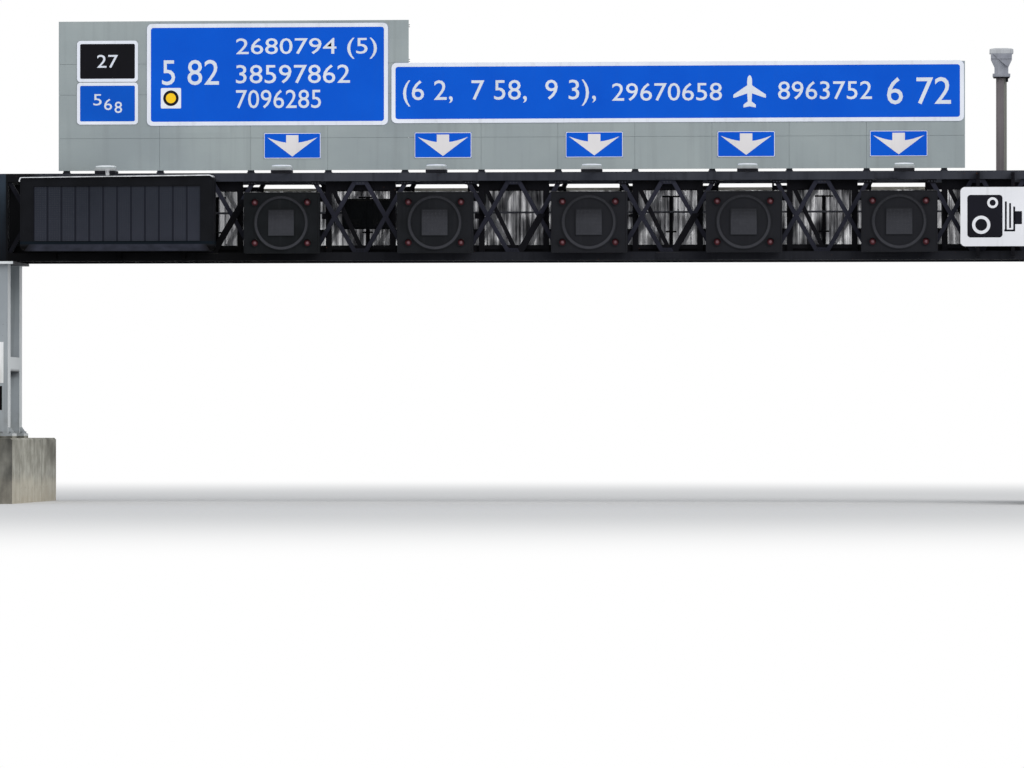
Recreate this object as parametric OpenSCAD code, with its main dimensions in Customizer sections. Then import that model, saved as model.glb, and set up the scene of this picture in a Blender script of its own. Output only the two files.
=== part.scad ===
// Overhead sign gantry across one carriageway of a motorway.
// A box beam of steel lattice stands on two legs of two columns each. It carries
// direction signs, a message sign, a row of lane signals and their walkway.
// X runs across the road, Y along it with the traffic, and Z up from the ground.
// The origin is on the ground, midway between the legs.

/* [Span and height] */
// Width of a traffic lane, which is the pitch of the lane signals
lane_w = 3650; // [3500:10:3700]
// Distance from the left leg's centre line to the first lane
left_edge_w = 5032; // [4900:2:5500]
// Distance from the last lane to the right leg's centre line
right_edge_w = 2518; // [2400:2:3200]
// Height of the beam's underside above the foot of the plinths
soffit_z = 5750; // [5300:10:6200]

/* [Plinths] */
// Length of a plinth along the road
plinth_l = 6600; // [4500:50:8000]
// Width of a plinth across the road
plinth_w = 1460; // [1200:10:1800]
// Height of a plinth
plinth_h = 1540; // [900:10:1800]
// Chamfer along the upper edges of a plinth
plinth_chamfer = 40; // [10:5:80]
// Thickness of the grout bed under a base plate
grout_t = 50; // [20:5:80]

/* [Legs] */
// Width of a leg column across the road
column_w = 500; // [400:10:600]
// Depth of a leg column along the road
column_d = 400; // [300:10:500]
// Thickness of a base plate
base_plate_t = 60; // [30:5:80]
// Distance that a base plate reaches past its column
base_margin = 130; // [100:10:240]
// Height of the stiffeners on a base plate
stiffener_h = 150; // [80:5:300]
// Thickness of a stiffener
stiffener_t = 20; // [12:1:30]
// Thickness of the web plate between the two columns
web_t = 60; // [20:5:120]
// Height of the batten across the web plate
batten_h = 350; // [200:10:600]
// Height of the batten's underside above the ground
batten_z = 3130; // [2600:10:4000]
// Thickness of the cap plate
cap_t = 60; // [30:5:80]
// Distance that the cap plate reaches past the columns
cap_margin = 150; // [60:10:200]

/* [Beam] */
// Height of the beam
beam_h = 2090; // [1900:10:2400]
// Depth of the beam along the road
beam_d = 2100; // [2000:10:2400]
// Side of a square chord
chord_s = 200; // [150:5:240]
// Side of a lattice bar
bar_s = 100; // [60:5:120]
// Distance of a bar's centre line from the node, on the chord's centre line
node_gap = 60; // [30:5:90]
// Side of a cross bar between the chords
cross_s = 100; // [60:5:120]
// Side of a diagonal between the cross bars
diagonal_s = 70; // [40:5:100]

/* [Walkway] */
// Thickness of the floor's grating
deck_t = 40; // [25:5:60]
// Height of the toe boards above the beams that carry the floor
toe_h = 170; // [100:5:200]
// Thickness of the toe boards
toe_t = 10; // [6:1:20]
// Side of the hand rail's bars
rail_s = 40; // [30:1:50]
// Height of the hand rail above the floor
rail_z = 940; // [900:10:1100]
// Height of a rail post above the floor
rail_post_h = 1350; // [1200:10:1500]
// Space between the rear screen and the upper chord
screen_drop = 100; // [60:10:500]
// Thickness of the rear screen's sheet
screen_t = 6; // [3:1:12]
// Clearance between the rear screen and the lower chord
screen_gap = 5; // [2:1:10]
// Distance between the ribs of the rear screen
rib_pitch = 316; // [250:2:400]
// Width of a rib of the rear screen
rib_w = 40; // [20:1:80]
// Distance that the ribs stand proud of the sheet
rib_d = 34; // [15:1:40]

/* [Signal frames] */
// Distance of a frame's post from the middle of its signal
post_offset = 1060; // [980:5:1150]
// Width of a frame's post
post_w = 140; // [80:5:160]
// Depth of the frame's members along the road
frame_d = 60; // [40:5:60]
// Height of the header between two posts
header_h = 220; // [100:10:260]
// Width of the raking brace
brace_w = 100; // [60:5:120]
// Distance that the brace stands back from a frame's faces
brace_inset = 5; // [2:1:15]
// Height of the bar across the foot of a frame
foot_bar_h = 100; // [60:5:120]
// Height of a signal's upper rail
upper_rail_h = 200; // [100:10:240]
// Height of a signal's lower rail
lower_rail_h = 190; // [100:10:240]
// Width of the stubs that hold a signal to its rails
stub_w = 120; // [60:5:160]
// Distance of a stub from the middle of the signal
stub_x = 420; // [300:10:480]

/* [Lane signals] */
// Width of a lane signal
signal_w = 1790; // [1500:10:1800]
// Height of a lane signal
signal_h = 1440; // [1300:10:1440]
// Depth of a lane signal's housing
signal_d = 350; // [200:10:500]
// Height of a signal's underside above the beam's underside
signal_lift = 170; // [100:10:220]
// Distance between the beam and the back of the signals
signal_gap = 100; // [60:5:200]
// Outer radius of the ring
ring_r = 660; // [500:5:700]
// Width of the ring
ring_w = 100; // [60:5:140]
// Distance that the ring and the lamp matrix stand proud
ring_proud = 20; // [10:1:40]
// Side of the square lamp matrix
matrix_s = 640; // [400:10:700]
// Distance across between the red lanterns
lantern_dx = 1250; // [1200:10:1400]
// Distance up between the red lanterns
lantern_dz = 960; // [900:10:1000]
// Radius of a lantern's rim
lantern_r = 95; // [60:5:120]
// Distance that a lantern's rim stands proud
lantern_proud = 30; // [10:1:60]

/* [Message sign] */
// Width of the message sign
message_w = 4640; // [4000:10:4800]
// Height of the message sign
message_h = 1790; // [1500:10:1820]
// Depth of the message sign
message_d = 350; // [250:10:500]
// Distance of its top below the beam's top
message_drop = 80; // [60:5:150]
// Space between the message sign and the first lane signal
message_space = 705; // [200:5:900]
// Chamfer at the corners of the message sign
message_chamfer = 110; // [40:5:150]
// Width of the housing beside its window
window_side = 320; // [150:5:500]
// Height of the housing above its window
window_head = 240; // [150:5:300]
// Height of the housing below its window
window_sill = 240; // [150:5:300]
// Depth of the window below the bezel
window_recess = 40; // [15:1:60]
// Thickness of the window
window_t = 12; // [6:1:14]
// Thickness of the hood on the message sign
hood_t = 30; // [15:1:30]
// Distance that the hood reaches past the front
hood_reach = 50; // [20:5:120]

/* [Camera sign] */
// Width of the camera sign
camera_sign_w = 1640; // [1200:10:1800]
// Height of the camera sign
camera_sign_h = 1390; // [1000:10:1500]
// Thickness of its plate
camera_sign_t = 20; // [6:1:30]
// Radius of its corners
camera_sign_r = 110; // [40:5:160]
// Height of its lower edge above the beam's underside
camera_sign_lift = 300; // [150:10:500]
// Space between the camera sign and the last lane signal
camera_sign_space = 535; // [300:5:600]
// Distance between the beam and the back of the camera sign
camera_sign_gap = 230; // [150:5:400]
// Width of the brackets that hold the signs on the beam
bracket_w = 80; // [50:5:120]

/* [Direction signs] */
// Distance from mid-span to the joint between the two boards
board_joint = 3050; // [2900:10:3200]
// Space between the beam and the boards' lower edge
board_gap = 60; // [58:1:150]
// Thickness of the boards
board_t = 30; // [20:1:60]
// Distance that the boards stand ahead of the beam
board_ahead = 50; // [30:5:80]
// Thickness of the panels on the boards
panel_t = 12; // [4:1:20]
// Width of the blue panel on the tall board
exit_panel_w = 5760; // [5000:10:6400]
// Height of the blue panel on the tall board
exit_panel_h = 2425; // [2200:5:2800]
// Height of that panel above the lane arrows
exit_panel_lift = 185; // [100:5:300]
// Distance from that panel's right edge to the joint between the boards
exit_panel_margin = 492; // [200:2:600]
// Distance from that panel's upper edge to the tall board's
exit_panel_head = 65; // [30:5:200]
// Width of the blue panel across the long board
through_panel_w = 13531; // [12500:1:14000]
// Height of the blue panel across the long board
through_panel_h = 1430; // [1200:10:1600]
// Height of that panel above the lane arrows
through_panel_lift = 225; // [100:5:300]
// Distance from that panel's right edge to the long board's
through_panel_margin = 23; // [10:1:60]
// Distance that its upper edge rises above the long board
through_panel_rise = 15; // [2:1:40]
// Space between the two blue panels
panel_space = 83; // [40:1:150]
// Radius of the corners of the blue panels
panel_r = 120; // [40:5:200]
// Width of the two small plates on the tall board
small_plate_w = 1465; // [1200:5:1500]
// Height of the upper small plate
upper_plate_h = 980; // [800:10:1000]
// Height of the lower small plate
lower_plate_h = 1000; // [800:10:1050]
// Space between the two small plates
small_plate_gap = 15; // [5:1:40]
// Distance from the tall board's left edge to the small plates
small_plate_margin = 440; // [200:5:600]
// Height of the small plates above the lane arrows
small_plate_lift = 220; // [100:5:300]
// Space between the small plates and the blue panel on the tall board
small_plate_space = 213; // [80:1:300]
// Radius of the corners of the small plates
small_plate_r = 70; // [20:5:120]
// Width of a lane arrow's plate
arrow_w = 1350; // [1000:10:1500]
// Height of a lane arrow's plate
arrow_h = 600; // [400:10:650]
// Distance that the lane arrows stand closer together than the lanes
arrow_closer = 60; // [0:5:120]
// Distance of the middle arrow to the right of the middle signal
arrow_shift = 100; // [0:5:300]
// Height of the arrows' lower edge above the board's
arrow_lift = 280; // [150:5:400]

/* [Sign posts] */
// Width of a sign post's flange
sign_post_w = 140; // [100:5:160]
// Depth of a sign post
sign_post_d = 150; // [100:5:150]
// Thickness of a sign post's flanges and web
sign_post_t = 14; // [8:1:20]
// Distance that a post stops below the board's upper edge
post_drop = 60; // [30:5:200]
// Thickness of a post's foot plate
foot_t = 25; // [15:1:40]
// Distance that a foot plate reaches past its post
foot_margin = 15; // [10:5:60]
// Number of bays between the posts behind the long board
long_bays = 7; // [5:1:8]
// Distance of the post at the joint between the boards from that joint, to its left
joint_post_inset = 100; // [70:5:200]
// Distance of the last post from the long board's right end
end_post_inset = 491; // [300:1:600]
// Distances of the tall board's posts from its left edge
tall_post_at = [170, 2420, 4590, 6440]; // [100:10:7500]
// Height of a horizontal rail behind the boards
board_rail_h = 90; // [60:5:150]
// Depth of a horizontal rail behind the boards
board_rail_d = 50; // [30:5:80]

/* [Sign lights] */
// Distance that the lights stand ahead of the beam
light_reach = 1350; // [1000:10:1600]
// Side of the arm that holds a light
arm_s = 45; // [30:1:55]
// Clearance between the arm's end and the foot plates of the sign posts
arm_clearance = 5; // [2:1:10]
// Width of a light
light_w = 480; // [350:5:550]
// Depth of a light
light_d = 400; // [300:5:500]
// Height of a light
light_h = 85; // [60:5:140]
// Height of the gear box below a light
gear_h = 110; // [80:5:160]
// Distance of a light to the right of the signal below it
light_shift = 125; // [0:5:300]
// Distance from the tall board's left edge to the light of the small plates
far_light_inset = 1330; // [1000:10:1800]

/* [Mast and cabinet] */
// Side of the mast
mast_s = 200; // [120:5:220]
// Angle by which the mast is turned to the left from square
mast_turn = 20; // [0:5:45]
// Height of the mast above the beam
mast_h = 2310; // [2000:10:2800]
// Distance of the mast from the right leg's centre line
mast_inset = 1940; // [1200:10:2400]
// Side of the mast's foot plate
mast_foot_s = 420; // [350:10:480]
// Side of the collar below the mast's head
collar_w = 420; // [340:10:500]
// Height of the collar
collar_h = 80; // [40:5:120]
// Width of the mast's head at its lower end
head_low_w = 330; // [320:5:400]
// Width of the mast's head at its upper end
head_high_w = 500; // [400:10:560]
// Height of the mast's head between its collar and its lid
head_h = 480; // [400:10:600]
// Height of its narrow part above the collar
head_neck_h = 160; // [80:10:180]
// Height of its wide part below the lid
head_rim_h = 140; // [60:10:180]
// Width of the lid on the mast's head
lid_w = 570; // [560:5:640]
// Height of the lid
lid_h = 130; // [60:5:160]
// Depth of the head and its lid along the road
head_d = 400; // [330:10:480]
// Width of the equipment cabinet
cabinet_w = 1180; // [800:10:1300]
// Height of the equipment cabinet
cabinet_h = 725; // [500:5:900]
// Depth of the equipment cabinet
cabinet_d = 240; // [150:10:260]
// Height of the cabinet's underside above the floor
cabinet_lift = 565; // [400:5:700]

/* [Hidden] */
LANES = 5;
MIDDLE_LANE = 3;
PANELS_PER_LANE = 3;
TALL_BOARD_RAILS = 5;
LONG_BOARD_RAILS = 4;
// The bays that have a post of the hand rail in the middle, counted from the first signal
RAIL_POST_BAYS = [-1, 0, 1, 3, 4, 5];

round_steps = 96;
overlap = 1;

panel_l = lane_w / PANELS_PER_LANE;
leg_spacing = left_edge_w + LANES * lane_w + right_edge_w;
leg_x = leg_spacing / 2;
post_face_x = leg_x - column_w / 2;
front_y = -beam_d / 2;
inner_y = beam_d / 2 - chord_s;
beam_top_z = soffit_z + beam_h;
chord_top_z = soffit_z + chord_s;
chord_low_z = beam_top_z - chord_s;
deck_edge_y = inner_y - max(frame_d, screen_gap + screen_t + rib_d) - toe_t;
deck_top_z = chord_top_z + deck_t;

base_top_z = plinth_h + grout_t + base_plate_t;
leg_top_z = soffit_z - cap_t;

frame_y = -inner_y;

signal_z = soffit_z + signal_lift;
signal_mid_z = signal_z + signal_h / 2;
signal_back_y = front_y - signal_gap;
signal_face_y = signal_back_y - signal_d;
first_signal_x = -leg_x + left_edge_w + lane_w / 2;
bay_w = lane_w - 2 * post_offset;

// Panels of the lattice are counted from the first signal, and run past both ends of the beam
first_panel = -ceil((first_signal_x + post_face_x) / panel_l);
last_panel = ceil((post_face_x - first_signal_x) / panel_l);

message_x = first_signal_x - signal_w / 2 - message_space - message_w / 2;
message_z = beam_top_z - message_drop - message_h;
window_w = message_w - 2 * window_side;
window_h = message_h - window_head - window_sill;
camera_sign_x = signal_x(LANES) + signal_w / 2 + camera_sign_space + camera_sign_w / 2;

mast_x = leg_x - mast_inset;

board_z = beam_top_z + board_gap;
board_front_y = front_y - board_ahead;
board_back_y = board_front_y + board_t;
sign_post_y = board_back_y + board_rail_d;
arrow_top_z = board_z + arrow_lift + arrow_h;
exit_panel_z = arrow_top_z + exit_panel_lift;
exit_panel_right_x = -board_joint - exit_panel_margin;
exit_panel_left_x = exit_panel_right_x - exit_panel_w;
through_panel_z = arrow_top_z + through_panel_lift;
through_panel_left_x = exit_panel_right_x + panel_space;
small_plate_x = exit_panel_left_x - small_plate_space - small_plate_w / 2;
tall_left_x = small_plate_x - small_plate_w / 2 - small_plate_margin;
tall_top_z = exit_panel_z + exit_panel_h + exit_panel_head;
long_right_x = through_panel_left_x + through_panel_w + through_panel_margin;
long_top_z = through_panel_z + through_panel_h - through_panel_rise;

function signal_x(lane) = first_signal_x + (lane - 1) * lane_w;

function panel_x(k) = first_signal_x + k * panel_l;

// A panel behind a lane signal has no bars, so that the signal's stubs pass through it
function open_panel(k) = k % PANELS_PER_LANE == 0 && k >= 0 && k <= (LANES - 1) * PANELS_PER_LANE;

// A box given by its lowest and its highest corner
module block(low, high) {
    translate(low) cube(high - low);
}

// A plate in the XZ plane with round corners, whose front face is at y = 0 and back at y = t
module round_plate(w, h, r, t) {
    translate([0, t, 0]) rotate([90, 0, 0]) linear_extrude(t) {
        translate([r - w / 2, 0]) square([w - 2 * r, h]);
        translate([-w / 2, r]) square([w, h - 2 * r]);
        for (side = [-1, 1], level = [r, h - r]) {
            translate([side * (w / 2 - r), level]) circle(r, $fn = round_steps);
        }
    }
}

// A bar with a square section from one point of the XZ plane to another, at depth y
module bar_xz(from, to, y, w, d) {
    run = to - from;
    translate([from[0], y, from[1]]) rotate([0, -atan2(run[1], run[0]), 0])
        translate([0, -d / 2, -w / 2]) cube([norm(run), d, w]);
}

// The same in the XY plane, at height z
module bar_xy(from, to, z, w, h) {
    run = to - from;
    translate([from[0], from[1], z]) rotate([0, 0, atan2(run[1], run[0])])
        translate([0, -w / 2, -h / 2]) cube([norm(run), w, h]);
}

module on_side(side) {
    if (side < 0) mirror([1, 0, 0]) children();
    else children();
}

module both_sides() {
    for (side = [-1, 1]) on_side(side) children();
}

module plinth() {
    grout_x = column_w / 2 + base_margin;
    grout_y = column_d / 2 + base_margin;
    column_y = beam_d / 2 - column_d / 2;
    color([0.57, 0.55, 0.51]) translate([leg_x, 0, 0]) {
        translate([0, plinth_l / 2, 0]) rotate([90, 0, 0]) linear_extrude(plinth_l) polygon([
            [-plinth_w / 2, 0],
            [plinth_w / 2, 0],
            [plinth_w / 2, plinth_h - plinth_chamfer],
            [plinth_w / 2 - plinth_chamfer, plinth_h],
            [plinth_chamfer - plinth_w / 2, plinth_h],
            [-plinth_w / 2, plinth_h - plinth_chamfer]
        ]);
        for (end = [-1, 1]) {
            block(
                [-grout_x, end * column_y - grout_y, plinth_h - overlap],
                [grout_x, end * column_y + grout_y, plinth_h + grout_t]
            );
        }
    }
}

module leg_columns() {
    color([0.59, 0.61, 0.63]) for (end = [-1, 1]) {
        column_y = end * (beam_d / 2 - column_d / 2);
        block(
            [leg_x - column_w / 2, column_y - column_d / 2, base_top_z],
            [leg_x + column_w / 2, column_y + column_d / 2, leg_top_z]
        );
    }
}

// The plate between the two columns, with a batten as wide as they are
module leg_web() {
    edge_y = beam_d / 2 - column_d;
    color([0.50, 0.52, 0.54]) {
        block([leg_x - web_t / 2, -edge_y, base_top_z], [leg_x + web_t / 2, edge_y, leg_top_z]);
        block(
            [leg_x - column_w / 2, -edge_y, batten_z],
            [leg_x + column_w / 2, edge_y, batten_z + batten_h]
        );
    }
}

// One stiffener, standing out along +X from a column's face
module stiffener() {
    rotate([90, 0, 0]) translate([0, 0, -stiffener_t / 2]) linear_extrude(stiffener_t) polygon([
        [0, -overlap],
        [base_margin - stiffener_t, -overlap],
        [base_margin - stiffener_t, stiffener_t],
        [stiffener_t, stiffener_h],
        [0, stiffener_h]
    ]);
}

module leg_base_plates() {
    color([0.59, 0.61, 0.63]) for (end = [-1, 1]) {
        translate([leg_x, end * (beam_d / 2 - column_d / 2), base_top_z]) {
            block(
                [-column_w / 2 - base_margin, -column_d / 2 - base_margin, -base_plate_t],
                [column_w / 2 + base_margin, column_d / 2 + base_margin, 0]
            );
            for (turn = [0, 180], place = [-1, 1]) rotate([0, 0, turn])
                translate([column_w / 2, place * column_d / 4, 0]) stiffener();
        }
    }
}

module leg_cap() {
    cap_y = beam_d / 2 + cap_margin;
    cap_x = column_w / 2 + cap_margin;
    color([0.62, 0.64, 0.66])
        block([leg_x - cap_x, -cap_y, leg_top_z], [leg_x + cap_x, cap_y, soffit_z]);
}

// Two end posts tied above and below, open between them for the walkway
module end_frame() {
    outer_x = leg_x + column_w / 2;
    color([0.15, 0.17, 0.21]) {
        for (end = [-1, 1]) {
            post_y = end * (beam_d / 2 - chord_s / 2);
            block(
                [post_face_x, post_y - chord_s / 2, soffit_z],
                [outer_x, post_y + chord_s / 2, beam_top_z]
            );
        }
        for (level = [soffit_z, chord_low_z]) {
            block(
                [post_face_x, -inner_y - overlap, level],
                [outer_x, inner_y + overlap, level + chord_s]
            );
        }
    }
}

module chord(end, level) {
    near_y = end < 0 ? front_y : inner_y;
    color([0.13, 0.13, 0.16])
        block([-post_face_x, near_y, level], [post_face_x, near_y + chord_s, level + chord_s]);
}

// One side of the beam: a cross of two bars in each panel, cut off at the chords and end posts
module side_lattice(end) {
    bar_y = end * (beam_d / 2 - chord_s / 2);
    low_z = soffit_z + chord_s / 2;
    high_z = beam_top_z - chord_s / 2;
    reach = panel_l / 2 - node_gap;
    color([0.13, 0.13, 0.16]) intersection() {
        union() for (k = [first_panel:last_panel]) if (!open_panel(k)) {
            middle = panel_x(k);
            bar_xz([middle - reach, low_z], [middle + reach, high_z], bar_y, bar_s, bar_s);
            bar_xz([middle - reach, high_z], [middle + reach, low_z], bar_y, bar_s, bar_s);
        }
        block([-post_face_x, bar_y - bar_s, chord_top_z], [post_face_x, bar_y + bar_s, chord_low_z]);
    }
}

// Cross bars at the nodes and a zigzag of diagonals between them, between the chords
module plan_bracing(level) {
    color([0.13, 0.13, 0.16]) intersection() {
        union() {
            for (k = [first_panel:last_panel]) {
                left_x = panel_x(k - 0.5);
                right_x = panel_x(k + 0.5);
                start_y = k % 2 == 0 ? -inner_y : inner_y;
                bar_xy([left_x, -inner_y], [left_x, inner_y], level, cross_s, cross_s);
                bar_xy([left_x, start_y], [right_x, -start_y], level, diagonal_s, diagonal_s);
            }
        }
        block([-post_face_x, -inner_y, level - cross_s], [post_face_x, inner_y, level + cross_s]);
    }
}

module walkway_floor() {
    color([0.30, 0.31, 0.33])
        block([-post_face_x, -deck_edge_y, chord_top_z], [post_face_x, deck_edge_y, deck_top_z]);
}

module toe_boards() {
    color([0.16, 0.16, 0.18]) for (side = [0, 1]) mirror([0, side, 0]) {
        block(
            [-post_face_x, deck_edge_y, chord_top_z],
            [post_face_x, deck_edge_y + toe_t, chord_top_z + toe_h]
        );
    }
}

// A hand rail along the rear edge of the floor, on posts with two short arms each
module hand_rail() {
    rail_y = deck_edge_y - rail_s;
    arm_long = 300;
    arm_short = 100;
    color([0.20, 0.20, 0.22]) {
        block(
            [-post_face_x, rail_y, deck_top_z + rail_z],
            [post_face_x, rail_y + rail_s, deck_top_z + rail_z + rail_s]
        );
        for (bay = RAIL_POST_BAYS) {
            post_x = signal_x(bay) + lane_w / 2;
            block(
                [post_x - rail_s, rail_y, deck_top_z],
                [post_x + rail_s, rail_y + rail_s, deck_top_z + rail_post_h]
            );
            block(
                [post_x - arm_long, rail_y, deck_top_z + rail_post_h - rail_s],
                [post_x + arm_long, rail_y + rail_s, deck_top_z + rail_post_h]
            );
            block(
                [post_x - arm_short, rail_y, deck_top_z + rail_z / 2],
                [post_x + arm_short, rail_y + rail_s, deck_top_z + rail_z / 2 + rail_s]
            );
        }
    }
}

// A sheet with upright ribs on its side towards the walkway
module rear_screen() {
    half = post_face_x;
    ribs = floor(2 * half / rib_pitch);
    step = 2 * half / ribs;
    rib_y = -screen_t - rib_d;
    rib_outline = [for (i = [0:ribs - 1], x = (i + 0.5) * step - half) each [
        [x - rib_w / 2, -screen_t],
        [x - rib_w / 2, rib_y],
        [x + rib_w / 2, rib_y],
        [x + rib_w / 2, -screen_t]
    ]];
    back = [[half, -screen_t], [half, 0], [-half, 0], [-half, -screen_t]];
    color([0.55, 0.56, 0.58]) translate([0, inner_y - screen_gap, chord_top_z])
        linear_extrude(chord_low_z - screen_drop - chord_top_z) polygon(concat(back, rib_outline));
}

// A goal frame between two signals, with a raking brace, inside the front lattice
module bay_frames() {
    low_z = chord_top_z - chord_s / 2;
    high_z = chord_low_z + chord_s / 2;
    header_z = chord_low_z - header_h;
    color([0.14, 0.14, 0.16]) for (bay = [0:LANES]) {
        left_x = signal_x(bay) + post_offset;
        right_x = left_x + bay_w;
        for (post_x = [left_x, right_x]) {
            block(
                [post_x - post_w / 2, frame_y, low_z],
                [post_x + post_w / 2, frame_y + frame_d, high_z]
            );
        }
        block(
            [left_x, frame_y, header_z],
            [right_x, frame_y + frame_d, chord_low_z]
        );
        bar_xz(
            [left_x + post_w / 2, header_z + brace_w],
            [left_x + bay_w / 2, chord_top_z + toe_h - foot_bar_h / 2],
            frame_y + frame_d / 2,
            brace_w,
            frame_d - 2 * brace_inset
        );
        block(
            [left_x, frame_y, chord_top_z + toe_h - foot_bar_h],
            [right_x, frame_y + frame_d, chord_top_z + toe_h]
        );
    }
}

// Two rails behind each signal, from post to post, and the stubs that reach the housing
module signal_rails() {
    half = post_offset - post_w / 2;
    levels = [
        [signal_z + signal_h - upper_rail_h, upper_rail_h],
        [signal_z + signal_h / 2 - lantern_dz / 4 - lower_rail_h / 2, lower_rail_h]
    ];
    color([0.14, 0.14, 0.16]) for (lane = [1:LANES], level = levels) {
        translate([signal_x(lane), 0, level[0]]) {
            block([-half, frame_y, 0], [half, frame_y + frame_d, level[1]]);
            for (side = [-1, 1]) {
                block(
                    [side * stub_x - stub_w / 2, signal_back_y, 0],
                    [side * stub_x + stub_w / 2, frame_y + overlap, level[1]]
                );
            }
        }
    }
}

// Upright channels on the front of the beam behind the message sign and the camera sign
module sign_brackets() {
    low_z = soffit_z + chord_s / 4;
    high_z = beam_top_z - chord_s / 4;
    color([0.16, 0.16, 0.18]) {
        for (place = [-1, 0, 1]) {
            bracket_x = message_x + place * message_w / 3;
            block(
                [bracket_x - bracket_w / 2, signal_back_y, low_z],
                [bracket_x + bracket_w / 2, front_y, high_z]
            );
        }
        for (place = [-1, 1]) {
            bracket_x = camera_sign_x + place * camera_sign_w / 4;
            block(
                [bracket_x - bracket_w / 2, front_y - camera_sign_gap, low_z],
                [bracket_x + bracket_w / 2, front_y, high_z]
            );
        }
    }
}

// A rolled H section on a foot plate, standing on the front chord
module sign_post(x, height) {
    half = sign_post_w / 2;
    foot = half + foot_margin;
    translate([x, sign_post_y, beam_top_z]) {
        block([-foot, 0, 0], [foot, sign_post_d, foot_t]);
        block([-half, 0, 0], [half, sign_post_t, height]);
        block([-half, sign_post_d - sign_post_t, 0], [half, sign_post_d, height]);
        block([-sign_post_t / 2, 0, 0], [sign_post_t / 2, sign_post_d, height]);
    }
}

// The post at the joint carries both boards, and is as tall as those behind the tall one
module sign_posts() {
    joint_post_x = -board_joint - joint_post_inset;
    pitch = (long_right_x - end_post_inset - joint_post_x) / long_bays;
    tall_post_h = tall_top_z - post_drop - beam_top_z;
    long_post_h = long_top_z - post_drop - beam_top_z;
    color([0.14, 0.14, 0.16]) {
        for (place = tall_post_at) sign_post(tall_left_x + place, tall_post_h);
        sign_post(joint_post_x, tall_post_h);
        for (i = [1:long_bays]) sign_post(joint_post_x + i * pitch, long_post_h);
    }
}

// Level rails between a board and its posts, from one height to another
module board_rails(left_x, right_x, top_z, count) {
    low = board_z + board_rail_h;
    step = (top_z - 2 * board_rail_h - low) / (count - 1);
    color([0.60, 0.62, 0.63]) for (i = [0:count - 1]) block(
        [left_x + board_rail_h, board_back_y, low + i * step],
        [right_x - board_rail_h, sign_post_y, low + i * step + board_rail_h]
    );
}

module sign_rails() {
    board_rails(tall_left_x, -board_joint, tall_top_z, TALL_BOARD_RAILS);
    board_rails(-board_joint, long_right_x, long_top_z, LONG_BOARD_RAILS);
}

module tall_sign_board() {
    color([0.57, 0.61, 0.62])
        block([tall_left_x, board_front_y, board_z], [-board_joint, board_back_y, tall_top_z]);
}

module long_sign_board() {
    color([0.57, 0.61, 0.62])
        block([-board_joint, board_front_y, board_z], [long_right_x, board_back_y, long_top_z]);
}

module exit_panel() {
    middle = exit_panel_left_x + exit_panel_w / 2;
    color([0.09, 0.35, 0.80]) translate([middle, board_front_y - panel_t, exit_panel_z])
        round_plate(exit_panel_w, exit_panel_h, panel_r, panel_t);
}

module through_panel() {
    middle = through_panel_left_x + through_panel_w / 2;
    color([0.09, 0.35, 0.80]) translate([middle, board_front_y - panel_t, through_panel_z])
        round_plate(through_panel_w, through_panel_h, panel_r, panel_t);
}

module small_plates() {
    lower_z = arrow_top_z + small_plate_lift;
    upper_z = lower_z + lower_plate_h + small_plate_gap;
    translate([small_plate_x, board_front_y - panel_t, 0]) {
        color([0.09, 0.35, 0.80]) translate([0, 0, lower_z])
            round_plate(small_plate_w, lower_plate_h, small_plate_r, panel_t);
        color([0.03, 0.03, 0.04]) translate([0, 0, upper_z])
            round_plate(small_plate_w, upper_plate_h, small_plate_r, panel_t);
    }
}

module lane_arrow_plates() {
    color([0.09, 0.35, 0.80]) for (lane = [1:LANES]) {
        plate_x = signal_x(lane) + arrow_shift + (MIDDLE_LANE - lane) * arrow_closer;
        block(
            [plate_x - arrow_w / 2, board_front_y - panel_t, arrow_top_z - arrow_h],
            [plate_x + arrow_w / 2, board_front_y, arrow_top_z]
        );
    }
}

// A box whose front view has four chamfered corners
module message_outline(w, h, c) {
    polygon([
        [-w / 2 + c, 0], [w / 2 - c, 0], [w / 2, c], [w / 2, h - c],
        [w / 2 - c, h], [-w / 2 + c, h], [-w / 2, h - c], [-w / 2, c]
    ]);
}

module message_sign_housing() {
    color([0.11, 0.11, 0.13]) translate([message_x, signal_back_y, message_z]) difference() {
        rotate([90, 0, 0]) linear_extrude(message_d)
            message_outline(message_w, message_h, message_chamfer);
        block(
            [-window_w / 2, -message_d - overlap, window_sill],
            [window_w / 2, window_recess - message_d, window_sill + window_h]
        );
    }
}

module message_sign_window() {
    back_y = signal_back_y - message_d + window_recess;
    color([0.18, 0.19, 0.24]) translate([message_x, back_y, message_z + window_sill])
        block([-window_w / 2, -window_t, 0], [window_w / 2, 0, window_h]);
}

module message_sign_hood() {
    half = message_w / 2 - message_chamfer;
    color([0.75, 0.76, 0.77]) translate([message_x, signal_back_y, message_z + message_h])
        block([-half, -message_d - hood_reach, 0], [half, 0, hood_t]);
}

module camera_sign() {
    color([0.85, 0.86, 0.87]) translate([
        camera_sign_x,
        front_y - camera_sign_gap - camera_sign_t,
        soffit_z + camera_sign_lift
    ]) round_plate(camera_sign_w, camera_sign_h, camera_sign_r, camera_sign_t);
}

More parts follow.
